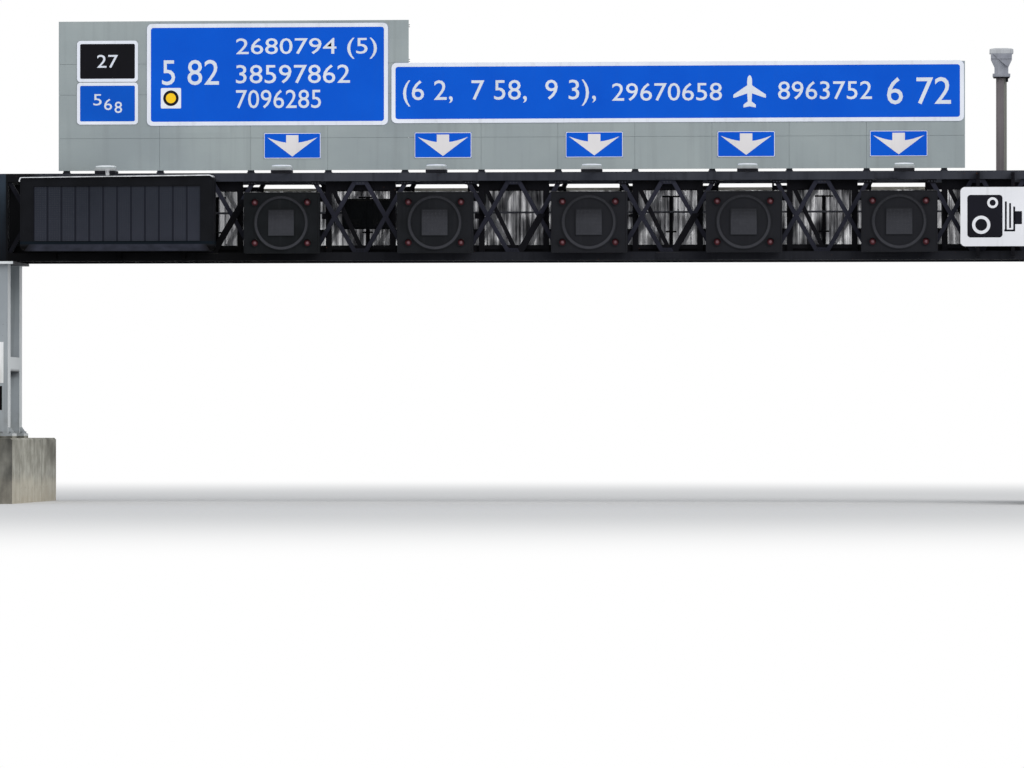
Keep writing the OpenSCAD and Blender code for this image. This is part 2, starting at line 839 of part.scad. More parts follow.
// A housing with a ring, a square lamp matrix and four lantern rims on its face
module lane_signal(lane) {
    color([0.11, 0.11, 0.12]) translate([signal_x(lane), signal_back_y, signal_mid_z]) {
        block([-signal_w / 2, -signal_d, -signal_h / 2], [signal_w / 2, 0, signal_h / 2]);
        translate([0, -signal_d, 0]) {
            rotate([90, 0, 0]) translate([0, 0, -overlap]) difference() {
                cylinder(h = ring_proud + overlap, r = ring_r, $fn = round_steps);
                translate([0, 0, -overlap])
                    cylinder(h = ring_proud + 3 * overlap, r = ring_r - ring_w, $fn = round_steps);
            }
            block(
                [-matrix_s / 2, -ring_proud, -matrix_s / 2],
                [matrix_s / 2, overlap, matrix_s / 2]
            );
            for (side = [-1, 1], level = [-1, 1]) {
                translate([side * lantern_dx / 2, overlap, level * lantern_dz / 2])
                    rotate([90, 0, 0])
                        cylinder(h = lantern_proud + overlap, r = lantern_r, $fn = round_steps);
            }
        }
    }
}

// The places of the lights: one for the small plates, then one above each signal
function light_xs() = concat(
    [tall_left_x + far_light_inset],
    [for (lane = [1:LANES]) signal_x(lane) + light_shift]
);

// Arms that lie on the front chord and pass under the boards, each with a gear box at its end
module sign_light_arms() {
    box_y = front_y - light_reach - light_d / 2;
    arm_end_y = sign_post_y - arm_clearance;
    color([0.25, 0.26, 0.27]) for (x = light_xs()) translate([x, 0, beam_top_z]) {
        block([-arm_s / 2, box_y + light_d - overlap, 0], [arm_s / 2, arm_end_y, arm_s]);
        block([-light_w / 2, box_y, arm_s - gear_h], [light_w / 2, box_y + light_d, arm_s]);
    }
}

// The light's body leans back, with its glass towards the boards
module sign_lights() {
    box_y = front_y - light_reach - light_d / 2;
    lean = light_d / 5;
    color([0.70, 0.71, 0.70]) for (x = light_xs())
        translate([x + light_w / 2, box_y, beam_top_z + arm_s]) rotate([0, -90, 0])
            linear_extrude(light_w) polygon([
                [0, 0],
                [0, light_d],
                [light_h / 2, light_d],
                [light_h, light_d - lean],
                [light_h, lean],
                [light_h / 2, 0]
            ]);
}

module mast() {
    mast_y = inner_y + chord_s / 2;
    color([0.36, 0.34, 0.32]) translate([mast_x, mast_y, beam_top_z]) {
        rotate([0, 0, -mast_turn])
            block([-mast_s / 2, -mast_s / 2, 0], [mast_s / 2, mast_s / 2, mast_h]);
        block(
            [-mast_foot_s / 2, -mast_foot_s / 2, 0],
            [mast_foot_s / 2, mast_foot_s / 2, foot_t]
        );
    }
}

// A collar, a body that widens upwards and a lid
module mast_head() {
    mast_y = inner_y + chord_s / 2;
    body_z = collar_h;
    lid_z = body_z + head_h;
    color([0.52, 0.54, 0.55]) translate([mast_x, mast_y, beam_top_z + mast_h]) {
        block([-collar_w / 2, -head_d / 2, 0], [collar_w / 2, head_d / 2, body_z]);
        translate([0, head_d / 2, 0]) rotate([90, 0, 0]) linear_extrude(head_d) polygon([
            [-head_low_w / 2, body_z - overlap],
            [head_low_w / 2, body_z - overlap],
            [head_low_w / 2, body_z + head_neck_h],
            [head_high_w / 2, lid_z - head_rim_h],
            [head_high_w / 2, lid_z + overlap],
            [-head_high_w / 2, lid_z + overlap],
            [-head_high_w / 2, lid_z - head_rim_h],
            [-head_low_w / 2, body_z + head_neck_h]
        ]);
        block([-lid_w / 2, -head_d / 2, lid_z], [lid_w / 2, head_d / 2, lid_z + lid_h]);
    }
}

// The cabinet hangs on the hand rail, in the middle of the bay right of the first signal
module equipment_cabinet() {
    back_y = deck_edge_y - rail_s;
    middle = signal_x(1) + lane_w / 2;
    color([0.12, 0.12, 0.14]) block(
        [middle - cabinet_w / 2, back_y - cabinet_d, deck_top_z + cabinet_lift],
        [middle + cabinet_w / 2, back_y, deck_top_z + cabinet_lift + cabinet_h]
    );
}

on_side(-1) plinth();  // left_plinth
on_side(1) plinth();  // right_plinth
both_sides() leg_columns();
both_sides() leg_web();  // leg_webs
both_sides() leg_base_plates();
both_sides() leg_cap();  // leg_caps
on_side(-1) end_frame();  // left_end_frame
on_side(1) end_frame();  // right_end_frame
chord(-1, chord_low_z);  // front_top_chord
chord(-1, soffit_z);  // front_bottom_chord
chord(1, chord_low_z);  // rear_top_chord
chord(1, soffit_z);  // rear_bottom_chord
side_lattice(-1);  // front_lattice
side_lattice(1);  // rear_lattice
plan_bracing(beam_top_z - chord_s / 2);  // top_bracing
plan_bracing(chord_top_z - cross_s / 2);  // floor_bearers
walkway_floor();
toe_boards();
hand_rail();
rear_screen();
bay_frames();
signal_rails();
sign_brackets();
sign_posts();
sign_rails();
tall_sign_board();
long_sign_board();
exit_panel();
through_panel();
small_plates();
lane_arrow_plates();
message_sign_housing();
message_sign_window();
message_sign_hood();
camera_sign();
for (lane = [1:LANES]) {
    lane_signal(lane);
}
sign_light_arms();
sign_lights();
mast();
mast_head();
equipment_cabinet();
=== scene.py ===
"""The looks of an overhead sign gantry across one carriageway of a motorway.

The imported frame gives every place. Each section below dresses one piece, or one group of like pieces,
in the order in which the gantry is put up: plinths, legs, beam, walkway, signals, signs, lights, mast
and cabinet.
"""

from math import ceil, cos, hypot, pi, radians, sin

import bmesh
import bpy
from mathutils import Matrix, Vector


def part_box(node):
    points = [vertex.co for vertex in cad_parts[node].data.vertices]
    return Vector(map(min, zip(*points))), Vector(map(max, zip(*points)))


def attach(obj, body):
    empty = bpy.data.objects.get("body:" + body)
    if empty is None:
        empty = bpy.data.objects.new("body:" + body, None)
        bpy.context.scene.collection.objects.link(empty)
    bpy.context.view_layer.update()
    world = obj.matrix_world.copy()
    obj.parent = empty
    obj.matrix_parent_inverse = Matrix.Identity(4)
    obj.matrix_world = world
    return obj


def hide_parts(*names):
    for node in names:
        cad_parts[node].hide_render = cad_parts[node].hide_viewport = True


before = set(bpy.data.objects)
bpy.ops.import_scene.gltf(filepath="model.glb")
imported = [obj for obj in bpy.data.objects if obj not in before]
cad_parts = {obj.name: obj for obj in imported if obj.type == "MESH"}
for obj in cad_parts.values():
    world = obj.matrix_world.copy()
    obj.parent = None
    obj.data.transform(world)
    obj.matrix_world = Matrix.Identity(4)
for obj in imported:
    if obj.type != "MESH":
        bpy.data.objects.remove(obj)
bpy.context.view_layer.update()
scene = bpy.context.scene


# Camera
# It stands 1.8 m up, far back and near the right edge of the carriageway, and looks along it with
# a long lens.
PHOTO_WIDTH_PX = 1024
FOCAL_PX = 5830
SENSOR_MM = 36.0
SIGHT = 2000.0
EYE = Vector((10.2, -138.6, 1.81))
AIM = Vector((-0.68, 0.0, 2.83))


def add_object(name, data):
    made = bpy.data.objects.new(name, data)
    scene.collection.objects.link(made)
    return made


camera = add_object("camera", bpy.data.cameras.new("camera"))
camera.data.sensor_width = SENSOR_MM
camera.data.lens = FOCAL_PX / PHOTO_WIDTH_PX * SENSOR_MM
camera.data.clip_end = SIGHT
camera.location = EYE
camera.rotation_euler = (AIM - EYE).to_track_quat("-Z", "Y").to_euler()
scene.camera = camera
scene.view_settings.view_transform = "Standard"


# Floor and light
# A pale floor that fades to white away from the gantry, a white backdrop, soft light from all
# round and one wide lamp from above the right shoulder.
FLOOR_HALF = 900.0
FLOOR_GREY = (0.62, 0.62, 0.62, 1)
FADE_FROM = 17.0
FADE_TO = 60.0
WHITE = (1, 1, 1, 1)
SKY_COLOUR = (0.93, 0.96, 1.0, 1)
SKY_LIGHT = 0.68
LAMP_COLOUR = (1.0, 0.985, 0.96)
LAMP_STRENGTH = 2.2
LAMP_ANGLE = 50
LAMP_HEIGHT = 33
LAMP_TURN = 48
ROUND_THE_CORNERS = ((-1, -1), (1, -1), (1, 1), (-1, 1))


def add_node(tree, kind, sockets=None, **settings):
    """Adds a node and gives its outputs. A socket takes a constant, or another node's output."""
    node = tree.nodes.new(kind)
    for name, value in settings.items():
        setattr(node, name, value)
    for name, value in (sockets or {}).items():
        if isinstance(value, bpy.types.NodeSocket):
            tree.links.new(value, node.inputs[name])
        else:
            node.inputs[name].default_value = value
    return node.outputs


def maths(operation, *terms):
    """A calculation on one to three terms, of which the first is a node's output."""
    return add_node(terms[0].id_data, "ShaderNodeMath", dict(enumerate(terms)), operation=operation)[0]


def empty_tree(owner):
    owner.use_nodes = True
    owner.node_tree.nodes.clear()
    return owner.node_tree


def seen_directly(tree):
    """1 for rays that meet the backdrop from the camera, a gloss or a glass, and 0 for light."""
    ray = add_node(tree, "ShaderNodeLightPath")
    gloss = maths("MAXIMUM", ray["Is Camera Ray"], ray["Is Glossy Ray"])
    return maths("MAXIMUM", gloss, ray["Is Transmission Ray"])


def light_the_backdrop():
    world = bpy.data.worlds.new("backdrop")
    tree = empty_tree(world)
    soft = add_node(tree, "ShaderNodeBackground", {"Color": SKY_COLOUR, "Strength": SKY_LIGHT})
    white = add_node(tree, "ShaderNodeBackground", {"Color": WHITE, "Strength": 1.0})
    mixed = add_node(tree, "ShaderNodeMixShader", {0: seen_directly(tree), 1: soft[0], 2: white[0]})
    add_node(tree, "ShaderNodeOutputWorld", {0: mixed[0]})
    scene.world = world


def hang_the_lamp():
    lamp = bpy.data.lights.new("lamp", "SUN")
    lamp.energy = LAMP_STRENGTH
    lamp.angle = radians(LAMP_ANGLE)
    lamp.color = LAMP_COLOUR
    holder = add_object("lamp", lamp)
    holder.rotation_euler = (radians(90 - LAMP_HEIGHT), 0, radians(LAMP_TURN))


def lay_the_floor():
    data = bpy.data.meshes.new("floor")
    corners = [(x * FLOOR_HALF, y * FLOOR_HALF, 0) for x, y in ROUND_THE_CORNERS]
    data.from_pydata(corners, [], [(0, 1, 2, 3)])
    material = bpy.data.materials.new("floor")
    tree = empty_tree(material)
    grey = add_node(tree, "ShaderNodeBsdfDiffuse", {"Color": FLOOR_GREY})
    white = add_node(tree, "ShaderNodeEmission", {"Color": WHITE, "Strength": 1.0})
    where = add_node(tree, "ShaderNodeTexCoord")["Object"]
    reach = add_node(tree, "ShaderNodeVectorMath", {0: where}, operation="LENGTH")["Value"]
    far = add_node(tree, "ShaderNodeMapRange", {"Value": reach, "From Min": FADE_FROM, "From Max": FADE_TO},
                   interpolation_type="SMOOTHSTEP")[0]
    share = maths("MULTIPLY", far, seen_directly(tree))
    mixed = add_node(tree, "ShaderNodeMixShader", {0: share, 1: grey[0], 2: white[0]})
    add_node(tree, "ShaderNodeOutputMaterial", {0: mixed[0]})
    data.materials.append(material)
    floor = add_object("floor", data)


light_the_backdrop()
hang_the_lamp()
lay_the_floor()


# Plinths
# Each leg stands on a block of concrete cast in place between boards, whose upper edges are
# chamfered, with a bed of grout under each base plate.
X, Y, Z = 0, 1, 2
FORM_BOARD_W = 0.12
FORM_JOINT = 1.1
FORM_GROOVE = 0.008
CAST_INSET = 0.003
CAST_CHAMFER = 0.04
GROUT_T = 0.05
GROUT_CHAMFER = 0.012
TIE_RADIUS = 0.028
TIE_SIDES = 12
TIE_ROWS = (0.36, 1.12)
TIE_DEEP = 0.01
TIE_PROUD = 0.002
SUNK = 0.002
SMOOTH_UNDER = 35


def linear(red, green, blue):
    """A colour picked on screen, from 0 to 255, as a shader takes it."""
    parts = [c / 255 for c in (red, green, blue)]
    return tuple(((c + 0.055) / 1.055) ** 2.4 if c > 0.04045 else c / 12.92 for c in parts) + (1.0,)


def surface(name, roughness, metallic=0.0, shine=0.2):
    """A new material, and the place on the object in metres."""
    material = bpy.data.materials.new(name)
    material.use_nodes = True
    shader = material.node_tree.nodes["Principled BSDF"].inputs
    shader["Roughness"].default_value = roughness
    shader["Metallic"].default_value = metallic
    shader["Specular IOR Level"].default_value = shine
    return material, add_node(material.node_tree, "ShaderNodeTexCoord")["Object"]


def finished(material, colour, height, depth, roughness=None):
    """The material with its colour and its relief, and with its roughness where that varies."""
    tree = material.node_tree
    shader = tree.nodes["Principled BSDF"].inputs
    tree.links.new(colour, shader["Base Color"])
    if roughness is not None:
        tree.links.new(roughness, shader["Roughness"])
    bump = add_node(tree, "ShaderNodeBump", {"Height": height, "Distance": depth, "Strength": 1.0})
    tree.links.new(bump[0], shader["Normal"])
    return material


def noise(where, scale, stretch=1.0, detail=3.0):
    """A soft random pattern, drawn out upwards where stretch is small."""
    spread = add_node(where.id_data, "ShaderNodeMapping", {"Vector": where, "Scale": (1, 1, stretch)})
    return add_node(where.id_data, "ShaderNodeTexNoise",
                    {"Vector": spread[0], "Scale": scale, "Detail": detail})[0]


def cells(where, scale):
    """The outputs of a pattern of round cells."""
    return add_node(where.id_data, "ShaderNodeTexVoronoi", {"Vector": where, "Scale": scale})


def span(value, low, high, to_low=0.0, to_high=1.0):
    """The value's share of the way from low to high, clamped."""
    return add_node(value.id_data, "ShaderNodeMapRange", {
        "Value": value, "From Min": low, "From Max": high, "To Min": to_low, "To Max": to_high})[0]


def patches(where, scale, low=0.3, high=0.7, stretch=1.0, detail=3.0):
    """The random pattern with its contrast raised. With a small stretch it is runs down the face."""
    return span(noise(where, scale, stretch, detail), low, high)


def times(first, *others):
    for other in others:
        first = maths("MULTIPLY", first, other)
    return first


def tint(share, first, second):
    """The first colour where share is 0, and the second where it is 1. A colour may be three numbers."""
    first, second = (c if isinstance(c, bpy.types.NodeSocket) else linear(*c) for c in (first, second))
    return add_node(share.id_data, "ShaderNodeMix", {0: share, 6: first, 7: second}, data_type="RGBA")[2]


def wash(colour, over, share, strength=1.0):
    """The colour with another laid over it where share is 1, as thickly as strength says."""
    return tint(share if strength == 1.0 else times(share, strength), colour, over)


def axes_of(where):
    return add_node(where.id_data, "ShaderNodeSeparateXYZ", {0: where})


def facing(where, axis, way=1):
    """1 on a surface that looks along an axis, or against it, and 0 on one that looks aside."""
    normal = add_node(where.id_data, "ShaderNodeNewGeometry")["Normal"]
    return span(axes_of(normal)[axis], 0.5 * way, 0.9 * way)


def between(value, low, high, soft):
    """1 where the value lies between two others, with soft ends."""
    return times(span(value, low - soft, low + soft), span(value, high + soft, high - soft))


def cast_concrete():
    """Concrete with the print of its form boards, painted shade on its end faces and washed pale lower down.
    """
    plinth_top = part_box("left_plinth")[1].z
    material, where = surface("cast_concrete", 0.9)
    x, y, z = axes_of(where)
    across = maths("DIVIDE", maths("ADD", x, y), FORM_BOARD_W)
    tone = add_node(where.id_data, "ShaderNodeTexWhiteNoise", {"W": maths("FLOOR", across)},
                    noise_dimensions="1D")[0]
    colour = tint(patches(where, 2.4, 0.34, 0.66, 1.2, 9.0), (168, 167, 158), (132, 131, 122))
    colour = wash(colour, (126, 122, 112), tone, 0.12)
    colour = wash(colour, (104, 101, 92), patches(where, 4.5, 0.42, 0.7, 0.05, 4.0), 0.40)
    tide = maths("MULTIPLY_ADD", noise(where, 1.2, detail=4.0), 0.5, z)
    colour = wash(colour, (184, 177, 162), span(tide, 0.92, 0.70), 0.5)
    stain = times(span(maths("ABSOLUTE", y), 1.3, 2.4), span(z, 0.75, 1.05),
                  patches(where, 2.2, 0.34, 0.52, detail=6.0), span(y, -0.2, 0.2, 0.25, 1.0))
    colour = wash(colour, (98, 96, 88), stain, 0.75)
    run_off = times(span(z, plinth_top - 0.55, plinth_top - 0.05), patches(where, 7, 0.45, 0.62, 0.04, 4.0))
    colour = wash(colour, (78, 76, 68), run_off, 0.55)
    splash = times(span(z, 0.42, 0.0), patches(where, 5))
    colour = wash(colour, (150, 138, 118), splash, 0.4)
    # Painted shade on both end faces, in patches.
    end_face = maths("MAXIMUM", facing(where, Y), facing(where, Y, -1))
    end_shade = maths("MULTIPLY_ADD", patches(where, 2.6, 0.4, 0.6, 0.5, 6.0), 0.35, 0.5)
    colour = wash(colour, (54, 54, 52), times(end_face, end_shade))
    pits = span(cells(where, 28.0)[0], 0.0, 0.16)
    joint = maths("LESS_THAN", maths("FRACT", across), 0.05)
    height = maths("SUBTRACT", maths("ADD", noise(where, 70), pits), joint)
    return finished(material, colour, height, 0.004)


def circle(x, z, radius, steps=64):
    turns = [2 * pi * k / steps for k in range(steps)]
    return [(x + radius * cos(turn), z + radius * sin(turn)) for turn in turns]


def at_depth(outline, axis, depth):
    """The outline's points on a plane across an axis. Their two numbers lie along the others, in order."""
    return [(*point[:axis], depth, *point[axis:]) for point in outline]


def add_skin(mesh, rings, closed=False):
    """Faces from ring to ring of points, and over both ends, or round to the first ring again."""
    rings = [[mesh.verts.new(point) for point in ring] for ring in rings]
    if closed:
        rings.append(rings[0])
    else:
        mesh.faces.new(rings[0])
        mesh.faces.new(reversed(rings[-1]))
    for near, far in zip(rings, rings[1:]):
        for i in range(len(near)):
            mesh.faces.new((near[i], near[i - 1], far[i - 1], far[i]))


def add_prism(mesh, outline, start, end, axis=Y):
    """Draws an outline out along an axis."""
    add_skin(mesh, [at_depth(outline, axis, depth) for depth in (start, end)])


def add_ring(mesh, outer, inner, start, end):
    """A frame or a ring between two outlines with as many points, seen from the front."""
    add_skin(mesh, [at_depth(outline, Y, depth) for outline, depth in (
        (outer, end), (inner, end), (inner, start), (outer, start))], closed=True)


def add_box(mesh, low, high, edge=0.0):
    """A box from corner to corner, with its edges taken off where edge says how far."""
    low, high = Vector(low), Vector(high)
    place = Matrix.Translation((low + high) / 2) @ Matrix.Diagonal((*(high - low), 1))
    made = bmesh.ops.create_cube(mesh, size=1.0, matrix=place)["verts"]
    if edge:
        edges = list(dict.fromkeys(e for v in made for e in v.link_edges))
        bmesh.ops.bevel(mesh, geom=edges, offset=edge, segments=1, affect="EDGES")


def settle(name, data, replaced=()):
    """Links a finished mesh as a piece that rides on the gantry."""
    data.shade_smooth()
    data.set_sharp_from_angle(angle=radians(SMOOTH_UNDER))
    made = add_object(name, data)
    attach(made, "root")
    if replaced:
        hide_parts(*replaced)


def piece(name, mesh, finish, replaced=()):
    """Turns what was drawn into a piece of one finish."""
    bmesh.ops.recalc_face_normals(mesh, faces=mesh.faces)
    data = bpy.data.meshes.new(name)
    mesh.to_mesh(data)
    mesh.free()
    data.materials.append(finish)
    settle(name, data, replaced)


def solids(node):
    """The lowest and highest corner of each separate solid in a node, by x, then y, then z."""
    mesh = bmesh.new()
    mesh.from_mesh(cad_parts[node].data)
    bmesh.ops.remove_doubles(mesh, verts=mesh.verts, dist=1e-5)
    left = set(mesh.verts)
    found = []
    while left:
        island, edge = [], [left.pop()]
        while edge:
            vert = edge.pop()
            island.append(vert.co.copy())
            for link in vert.link_edges:
                other = link.other_vert(vert)
                if other in left:
                    left.remove(other)
                    edge.append(other)
        found.append([Vector(pick(c[i] for c in island) for i in range(3)) for pick in (min, max)])
    mesh.free()
    return sorted(found, key=lambda box: [round(c, 4) for c in box[0]])


def dress(finish, *nodes):
    """Gives CAD nodes their finish."""
    for node in nodes:
        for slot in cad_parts[node].material_slots:
            slot.material = finish


def block_outline(left, right, foot, shoulder, head, chamfer):
    return [(left, foot), (right, foot), (right, shoulder), (right - chamfer, head), (left + chamfer, head),
            (left, shoulder)]


def cast_plinth(node):
    """The block in lengths, with a groove where two shutters met, the grout beds and the tie plugs."""
    low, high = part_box(node)
    top = high.z - GROUT_T
    mesh = bmesh.new()
    lengths = ceil((high.y - low.y) / FORM_JOINT)
    step = (high.y - low.y) / lengths
    stations = [(low.y, 0), (high.y, 0)]
    for i in range(1, lengths):
        y = low.y + i * step
        stations[-1:-1] = [(y - FORM_GROOVE, 0), (y, FORM_GROOVE), (y + FORM_GROOVE, 0)]
    left, right = low.x + CAST_INSET, high.x - CAST_INSET
    add_skin(mesh, [at_depth(block_outline(left + cut, right - cut, low.z, top - CAST_CHAMFER, top - cut,
                                           CAST_CHAMFER), Y, y) for y, cut in stations])
    for plate_low, plate_high in solids("leg_base_plates"):
        if low.x < plate_low.x < high.x:
            bed = block_outline(plate_low.y, plate_high.y, top - SUNK, high.z - GROUT_CHAMFER, high.z,
                                GROUT_CHAMFER)
            add_prism(mesh, bed, plate_low.x, plate_high.x, X)
    for side, x in ((-1, left), (1, right)):
        for i in range(2 * lengths):
            for z in TIE_ROWS:
                disc = circle(low.y + (i + 0.5) * step / 2, z, TIE_RADIUS, TIE_SIDES)
                add_prism(mesh, disc, x - side * TIE_DEEP, x + side * TIE_PROUD, X)
    return mesh


concrete = cast_concrete()
for end in ("left", "right"):
    piece(f"{end}_plinth_cast", cast_plinth(f"{end}_plinth"), concrete, [f"{end}_plinth"])


# Legs
# Each is two welded box columns of steel, painted a pale grey, which a recessed web plate and a
# batten join, on a thick base plate with stiffeners and anchor bolts. On the left leg's front are
# a blank white plate and a dark hatch.
BATTEN_FOOT = 3.13
BASE_PLATE_T = 0.06
ANCHOR_INSET = 0.065
ANCHOR_NUT = (0.030, 0.04, 0.045, 0.008)
WELD_BEAD = 0.014
FITTING_INSET = 0.02
PLATE_RIGHT, PLATE_FOOT, PLATE_HEAD = -12.753, 2.853, 3.830
HATCH_RIGHT, HATCH_FOOT, HATCH_HEAD = -12.788, 2.210, 2.782
HATCH_RIM = 0.03
HATCH_LOCK_W = 0.016
HATCH_LOCK_Z = (2.47, 2.53)
EARTH_EAR_X = 12.9
EARTH_EAR_HALF = 0.03
EARTH_EAR_Z = (1.78, 1.86)


def leg_paint():
    """Pale grey with rain runs, dirt at its foot, painted light on +X faces, the batten's painted shadow,
    rust chips.
    """
    material, where = surface("leg_paint", 0.5)
    y, z = axes_of(where)[1:]
    cloud = patches(where, 0.7, 0.35, 0.65, detail=5.0)
    colour = tint(cloud, (156, 162, 166), (142, 148, 153))
    colour = wash(colour, (104, 106, 104), patches(where, 9, 0.52, 0.75, 0.035, 4.0), 0.38)
    colour = wash(colour, (108, 104, 94), times(span(z, 2.3, 1.6), patches(where, 6)), 0.45)
    # Painted light: faces that look along +X are made paler.
    colour = wash(colour, (204, 208, 210), facing(where, X), 0.6)
    # Painted shadow under the batten, on the web between the columns.
    painted_shade = times(span(maths("ABSOLUTE", y), 0.66, 0.63),
                    between(z, BATTEN_FOOT - 0.13, BATTEN_FOOT + 0.04, 0.04))
    colour = wash(colour, (22, 24, 26), painted_shade, 0.95)
    chips = patches(where, 26, 0.71, 0.74, detail=6.0)
    colour = wash(colour, (96, 72, 58), chips)
    roughness = maths("MAXIMUM", span(cloud, 0, 1, 0.42, 0.6), painted_shade)
    height = maths("SUBTRACT", noise(where, 160, detail=2.0), chips)
    return finished(material, colour, height, 0.0008, roughness)


def cap_paint():
    """The cap plate's front edge is painted lit and pale, and its other faces carry painted shade."""
    material, where = surface("cap_paint", 0.55, shine=0.1)
    cloud = patches(where, 5, detail=5.0)
    # Painted light and shade by face: the front edge lit, the other faces shaded.
    shaded_colour = tint(cloud, (66, 68, 72), (50, 52, 55))
    lit_colour = tint(cloud, (224, 228, 230), (206, 210, 212))
    return finished(material, tint(facing(where, Y, -1), shaded_colour, lit_colour), noise(where, 140), 0.0005)


def blank_white():
    material, where = surface("blank_white", 0.45)
    colour = tint(patches(where, 5, 0.4, 0.75, 0.3, 5.0), (226, 228, 230), (178, 178, 172))
    return finished(material, colour, noise(where, 120), 0.0004)


def zinc(name, light, deep, dirt, spangle=34.0):
    """Hot-dip galvanised steel, dull, with its spangle and some dirt."""
    material, where = surface(name, 0.55, 0.75)
    shade = add_node(where.id_data, "ShaderNodeSeparateColor", {0: cells(where, spangle)["Color"]})[0]
    colour = wash(tint(shade, light, deep), dirt, patches(where, 7, 0.48, 0.72, 0.06, 4.0), 0.55)
    return finished(material, colour, noise(where, 90), 0.0006, span(shade, 0, 1, 0.42, 0.68))


def dark_paint(name, light, deep, low_darkening=0.8, painted_shade=0.9):
    """Matt dark paint, darker low down, painted shade low on the left and at the left end, dusty on top,
    rusty in spots.
    """
    beam_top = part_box("front_top_chord")[1].z
    material, where = surface(name, 0.62, shine=0.06)
    x, _, z = axes_of(where)
    cloud = patches(where, 1.3, detail=6.0)
    colour = tint(cloud, light, deep)
    colour = wash(colour, [0.6 * c for c in deep], patches(where, 8, 0.5, 0.72, 0.06, 4.0), 0.4)
    # Darker towards the foot of the beam.
    colour = wash(colour, (14, 14, 18), times(span(z, beam_top - 0.3, beam_top - 1.7), low_darkening))
    # Painted shade, near black, on the lower left of the beam and at its left end.
    left_shade = times(span(x, -1.5, -7.0), span(z, beam_top - 0.5, beam_top - 1.7))
    left_shade = maths("MAXIMUM", left_shade, span(x, -11.8, -12.1))
    colour = wash(colour, (2, 2, 3), left_shade, painted_shade)
    dust = times(facing(where, Z), patches(where, 3.5, 0.3, 0.6, detail=5.0))
    colour = wash(colour, (96, 95, 90), dust, 0.7)
    rust = patches(where, 19, 0.70, 0.74, detail=6.0)
    colour = wash(colour, (82, 52, 38), rust, 0.7)
    height = maths("ADD", noise(where, 130, detail=2.0), rust)
    return finished(material, colour, height, 0.0008, span(cloud, 0, 1, 0.5, 0.72))


def input_name(key):
    return key.replace("_", " ").title()


def start_tree(name, **sizes):
    """A tree of geometry nodes with a named input for each size. It gives the inputs."""
    tree = bpy.data.node_groups.new(name, "GeometryNodeTree")
    kinds = {"geometry": "Geometry", **sizes, "finish": "Material"}
    for key, kind in kinds.items():
        tree.interface.new_socket(input_name(key), in_out="INPUT", socket_type="NodeSocket" + kind)
    tree.interface.new_socket("Geometry", in_out="OUTPUT", socket_type="NodeSocketGeometry")
    return tree.nodes.new("NodeGroupInput").outputs


def end_tree(given, shape):
    """Makes the instances real, gives them their finish, and gives the whole tree."""
    tree = shape.id_data
    real = add_node(tree, "GeometryNodeRealizeInstances", {0: shape})
    done = add_node(tree, "GeometryNodeSetMaterial", {"Geometry": real[0], "Material": given["Finish"]})
    add_node(tree, "NodeGroupOutput", {0: done[0]})
    return tree


def on_every_point(given, part):
    """The part on every point of the host, turned so that its Z looks the way the point faces."""
    tree = part.id_data
    way = add_node(tree, "GeometryNodeInputNamedAttribute", {"Name": "facing"}, data_type="FLOAT_VECTOR")
    turn = add_node(tree, "FunctionNodeAlignRotationToVector", {"Vector": way[0]}, axis="Z")
    return add_node(tree, "GeometryNodeInstanceOnPoints", {
        "Points": given["Geometry"], "Instance": part, "Rotation": turn[0]})[0]


def raised(shape, height):
    lift = add_node(shape.id_data, "ShaderNodeCombineXYZ", {"Z": height})
    return add_node(shape.id_data, "GeometryNodeTransform", {"Geometry": shape, "Translation": lift[0]})[0]


def rod(sides, radius, depth):
    """An upright cylinder with its middle on its host's point."""
    sizes = {"Vertices": sides, "Radius": radius, "Depth": depth}
    return add_node(radius.id_data, "GeometryNodeMeshCylinder", sizes)[0]


def both_of(first, second):
    joint = first.id_data.nodes.new("GeometryNodeJoinGeometry")
    for shape in (first, second):
        first.id_data.links.new(shape, joint.inputs[0])
    return joint.outputs[0]


def make_bolt_tree():
    """A six-sided head on a round washer, on every point."""
    given = start_tree("bolts", head_radius="Float", head_height="Float", washer_radius="Float",
                       washer_height="Float")
    washer = rod(12, given["Washer Radius"], given["Washer Height"])
    head = rod(6, given["Head Radius"], given["Head Height"])
    head_middle = maths("MULTIPLY_ADD", given["Head Height"], 0.5, given["Washer Height"])
    both = both_of(raised(washer, times(given["Washer Height"], 0.5)), raised(head, head_middle))
    return end_tree(given, on_every_point(given, both))


def plain_mesh(thing):
    """What an object's modifiers or letters make, as a mesh of its own."""
    return bpy.data.meshes.new_from_object(thing.evaluated_get(bpy.context.evaluated_depsgraph_get()))


def grow(name, host, tree, finish, slot, replaced=(), **sizes):
    """The plain mesh that a tree of geometry nodes makes on a host, as a piece."""
    holder = add_object(name + "_host", host)
    modifier = holder.modifiers.new("grow", "NODES")
    modifier.node_group = tree
    values = {input_name(key): value for key, value in sizes.items()}
    values["Finish"] = finish
    for socket in tree.interface.items_tree:
        if socket.in_out == "INPUT" and socket.name in values:
            modifier[socket.identifier] = values[socket.name]
    data = plain_mesh(holder)
    data.name = name
    holder.modifiers.remove(modifier)
    bpy.data.objects.remove(holder)
    settle(name, data, replaced)


def grow_on(name, places, tree, finish, slot, **sizes):
    """A small part on every place, each with the way that the part faces."""
    host = bpy.data.meshes.new(name + "_points")
    host.from_pydata([place for place, _ in places], [], [])
    ways = host.attributes.new("facing", "FLOAT_VECTOR", "POINT")
    ways.data.foreach_set("vector", [part for _, way in places for part in way])
    grow(name, host, tree, finish, slot, **sizes)


def bolt_on(name, places, sizes, finish, slot="galvanised"):
    """A bolt on every place. Its sizes are its head's radius and height, and then its washer's."""
    head_radius, head_height, washer_radius, washer_height = sizes
    grow_on(name, places, bolts, finish, slot, head_radius=head_radius, head_height=head_height,
            washer_radius=washer_radius, washer_height=washer_height)


